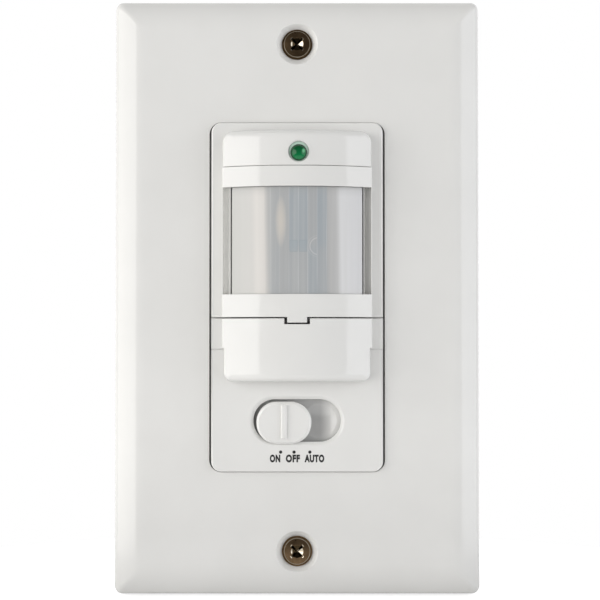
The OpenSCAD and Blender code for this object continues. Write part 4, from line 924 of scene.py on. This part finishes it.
def slide_knob():
    def head(a, b):
        on_rib = all(abs(p[0] - KNOB_X) < 0.7 for p in (a, b))
        return all(7.15 < p[2] < 7.75 for p in (a, b)) and not on_rib

    def rib(a, b):
        return all(p[2] > 8.05 for p in (a, b))

    piece = eased("slide_knob", [(0.13, 3, head), (0.3, 4, rib)])
    # A shallow dish in the skirt, kept clear of the head.
    dish = [(0.02 + 3.38 * k / 12, 4.4 - 0.75 * (1 - (k / 12) ** 2)) for k in range(13)]
    scoop = lathe(dish + [(3.4, 4.9), (0.02, 4.9)], 4.3, WELL_UP, 48)
    carve(scoop, slab(rounded(10.5, 7.6, 3.79), 3, 6, WELL_UP, KNOB_X))
    carve(piece, scoop)
    hand_over(piece, "slide_knob_cap", knob_white, ["slide_knob"], "mode_slider")


def dials():
    for node in ("time_dial", "light_dial", "range_dial"):
        piece = eased(node, [(0.18, 3, lambda a, b: a[2] > 7.45 and b[2] > 7.45)])
        hand_over(piece, node + "_knob", dial_ivory, [node], node)


def printed_marks():
    """The three position words and their dots, a thin film of ink on the bezel."""
    bm = bmesh.new()
    for words, middle, width in WORDS:
        curve = bpy.data.curves.new("mark", "FONT")
        curve.body, curve.size, curve.offset, curve.space_character = words, 1.0, 0.06, 1.14
        curve.align_x = "CENTER"
        held = new_piece("mark", curve)
        graph = bpy.context.evaluated_depsgraph_get()
        mesh = bpy.data.meshes.new_from_object(held.evaluated_get(graph), depsgraph=graph)
        xs, ys = [v.co.x for v in mesh.vertices], [v.co.y for v in mesh.vertices]
        for v in mesh.vertices:
            v.co = spot(middle + (v.co.x - (min(xs) + max(xs)) / 2) * width / (max(xs) - min(xs)),
                        WORDS_UP + (v.co.y - min(ys)) * WORDS_H / (max(ys) - min(ys)), INK_FOOT)
        bm.from_mesh(mesh)
        bpy.data.objects.remove(held)
        bpy.data.curves.remove(curve)
        bpy.data.meshes.remove(mesh)
    for x in DOTS_X:
        bm.faces.new([bm.verts.new(spot(x + a, DOTS_UP + b, INK_FOOT)) for a, b in circle(DOT_R, 24)])
    bmesh.ops.remove_doubles(bm, verts=bm.verts, dist=SEAM)
    raised = bmesh.ops.extrude_face_region(bm, geom=bm.faces[:])["geom"]
    for part in raised:
        if isinstance(part, bmesh.types.BMVert):
            part.co.y -= INK * MM
    mesh = mesh_from(bm, "position_marks")
    piece = new_piece("position_marks", mesh)
    mesh.materials.append(print_ink)
    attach(piece, "switch_base")


# Strap, rear body and terminals


def rear_pieces():
    def outer(a, b):
        return all(abs(p[0]) > 17.0 or abs(p[1]) > 30.0 or p[2] < -29 for p in (a, b))

    def flat(a, b):
        return abs(a[2] - b[2]) < 0.01

    for name, node, finish, slot, easing in (
            ("rear_housing", "rear_body", rear_charcoal, "rear_charcoal", (0.3, 3, outer)),
            ("steel_strap", "mounting_strap", zinc_steel, "zinc_steel", (0.16, 2, flat)),
            ("terminal_set", "terminal_plates", contact_brass, "contact_brass",
             (0.12, 2, lambda a, b: max(abs(a[0]), abs(b[0])) > 20.5)),
            ("terminal_screw_set", "terminal_screws", contact_brass, "contact_brass",
             (0.3, 3, lambda a, b: min(abs(a[0]), abs(b[0])) > 22.0)),
            ("ground_screw_hex", "ground_screw", ground_green, "ground_green",
             (0.25, 3, lambda a, b: max(a[2], b[2]) < -2.5))):
        hand_over(eased(node, [easing]), name, finish, [node])


def inner_finishes():
    """The CAD solids that stay in view get their finishes."""
    for finish, nodes in (
            (zinc_steel, ("led_leads", "board_screws", "assembly_screws", "hinge_pins")),
            (contact_brass, ("switch_contacts", "board_link", "contact_bridge")),
            (board_green, ("control_board", "power_board")),
            (part_black, ("switch_body", "relay", "switch_slider")),
            (part_blue, ("trimmer_bodies", "filter_capacitor", "surge_arrester")),
            (part_yellow, ("film_capacitor",)), (part_tan, ("dropper_resistor",)),
            (sensor_can, ("pir_sensor",)), (sensor_filter, ("pir_window",)), (cell_amber, ("light_cell",))):
        for node in nodes:
            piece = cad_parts[node]
            if piece.material_slots:
                for held in piece.material_slots:
                    held.material = finish
            else:
                piece.data.materials.append(finish)


cover_plate()
plate_screws()
front_bezel()
sensor_cap()
lens_frame()
sensor_lens()
indicator()
adjuster_door()
slide_knob()
dials()
printed_marks()
rear_pieces()
inner_finishes()


# Studio


def studio_floor():
    f = Finish("studio_floor", 0.6)
    f.colour(f.ramp(f.noise(6, 3), (0.4, (0.86, 0.86, 0.86)), (0.6, (0.88, 0.88, 0.88))))
    path = f.add("ShaderNodeLightPath").outputs
    seen = f.maths("MAXIMUM", path["Is Camera Ray"], path["Is Transmission Ray"])
    seen = f.maths("MAXIMUM", seen, f.times(path["Is Glossy Ray"], 0.4))
    socket(f.shader, "Emission Color", (1, 1, 1, 1))
    way = f.add("ShaderNodeVectorMath", operation="LENGTH")
    f.join(f.place, way.inputs[0])
    glow = f.times(seen, f.between(way.outputs["Value"], 0.065, 0.095, 0.74, 1.0))
    f.join(glow, f.shader.inputs["Emission Strength"])
    low = cad_box[0].z - FLOOR_GAP * MM
    bm = bmesh.new()
    bm.faces.new([bm.verts.new((x, y, low)) for x, y in circle(FLOOR_R * MM, 96)])
    floor = new_piece("floor", mesh_from(bm, "floor"))
    floor.data.materials.append(f.material)


def light_wall(name, side, near, radiance, colour):
    """An upright lamp beside the object, from a bearing nearer the camera to one level with the head."""
    away, far, low, high = 0.5, 90, -0.24, 0.38
    front, back = (-away / math.tan(math.radians(bearing)) - LIT_FRONT * MM for bearing in (near, far))
    lamp = bpy.data.lights.new(name, "AREA")
    lamp.shape, lamp.size, lamp.size_y = "RECTANGLE", back - front, high - low
    lamp.energy = radiance * math.pi * lamp.size * lamp.size_y
    lamp.color = colour
    holder = new_piece(name, lamp)
    holder.visible_camera = False
    holder.location = (side * away, (front + back) / 2, (low + high) / 2)
    holder.rotation_euler = Matrix(((0, 0, side), (side, 0, 0), (0, 1, 0))).to_euler()


def studio_world():
    """A soft room: light that fades above and below, dim in reflections, and white behind the object."""
    world = bpy.data.worlds.new("studio")
    scene.world = world
    world.use_nodes = True
    n = Nodes(world.node_tree)
    n.tree.nodes.clear()

    def shine(grey):
        node = n.add("ShaderNodeBackground")
        socket(node, "Color", (grey, grey, grey, 1))
        return node

    def either(amount, a, b):
        node = n.add("ShaderNodeMixShader")
        n.join(amount, node.inputs["Fac"])
        n.join(a.outputs[0], node.inputs[1])
        n.join(b.outputs[0], node.inputs[2])
        return node

    path = n.add("ShaderNodeLightPath").outputs
    way = n.add("ShaderNodeSeparateXYZ")
    n.join(n.add("ShaderNodeTexCoord").outputs["Generated"], way.inputs[0])
    soft = n.between(n.maths("ABSOLUTE", way.outputs["Z"]), 0.0, 0.45, 1.05, 0.28)
    soft.node.interpolation_type = "SMOOTHSTEP"
    room = shine(1)
    n.join(soft, room.inputs["Strength"])
    behind = n.times(n.maths("GREATER_THAN", way.outputs["Y"], 0.1), path["Is Glossy Ray"])
    seen = n.maths("MAXIMUM", n.maths("MAXIMUM", path["Is Camera Ray"], behind), path["Is Transmission Ray"])
    lit = either(path["Is Glossy Ray"], room, shine(0.13))
    n.join(either(seen, lit, shine(1)).outputs[0], n.add("ShaderNodeOutputWorld").inputs["Surface"])


def studio_camera():
    camera = bpy.data.cameras.new("camera")
    holder = new_piece("camera", camera)
    distance, rise = 0.335, math.radians(-1.3)
    pixels, pixels_per_mm, sensor = 600, 5.155, 36.0
    camera.sensor_width = sensor
    camera.lens = pixels_per_mm * distance / MM * sensor / pixels
    holder.location = (0, -distance * math.cos(rise), distance * math.sin(rise))
    holder.rotation_euler = (math.radians(90) - rise, 0, 0)
    camera.shift_x, camera.shift_y = 2.9 / pixels, -2.4 / pixels
    camera.clip_start, camera.clip_end = 0.01, 20
    scene.camera = holder


studio_floor()
studio_world()
light_wall("light_wall_left", -1, 31, 2.15, (1.0, 0.985, 0.965))
light_wall("light_wall_right", 1, 41, 1.5, (0.95, 0.963, 1.0))
studio_camera()
scene.view_settings.view_transform = "Standard"
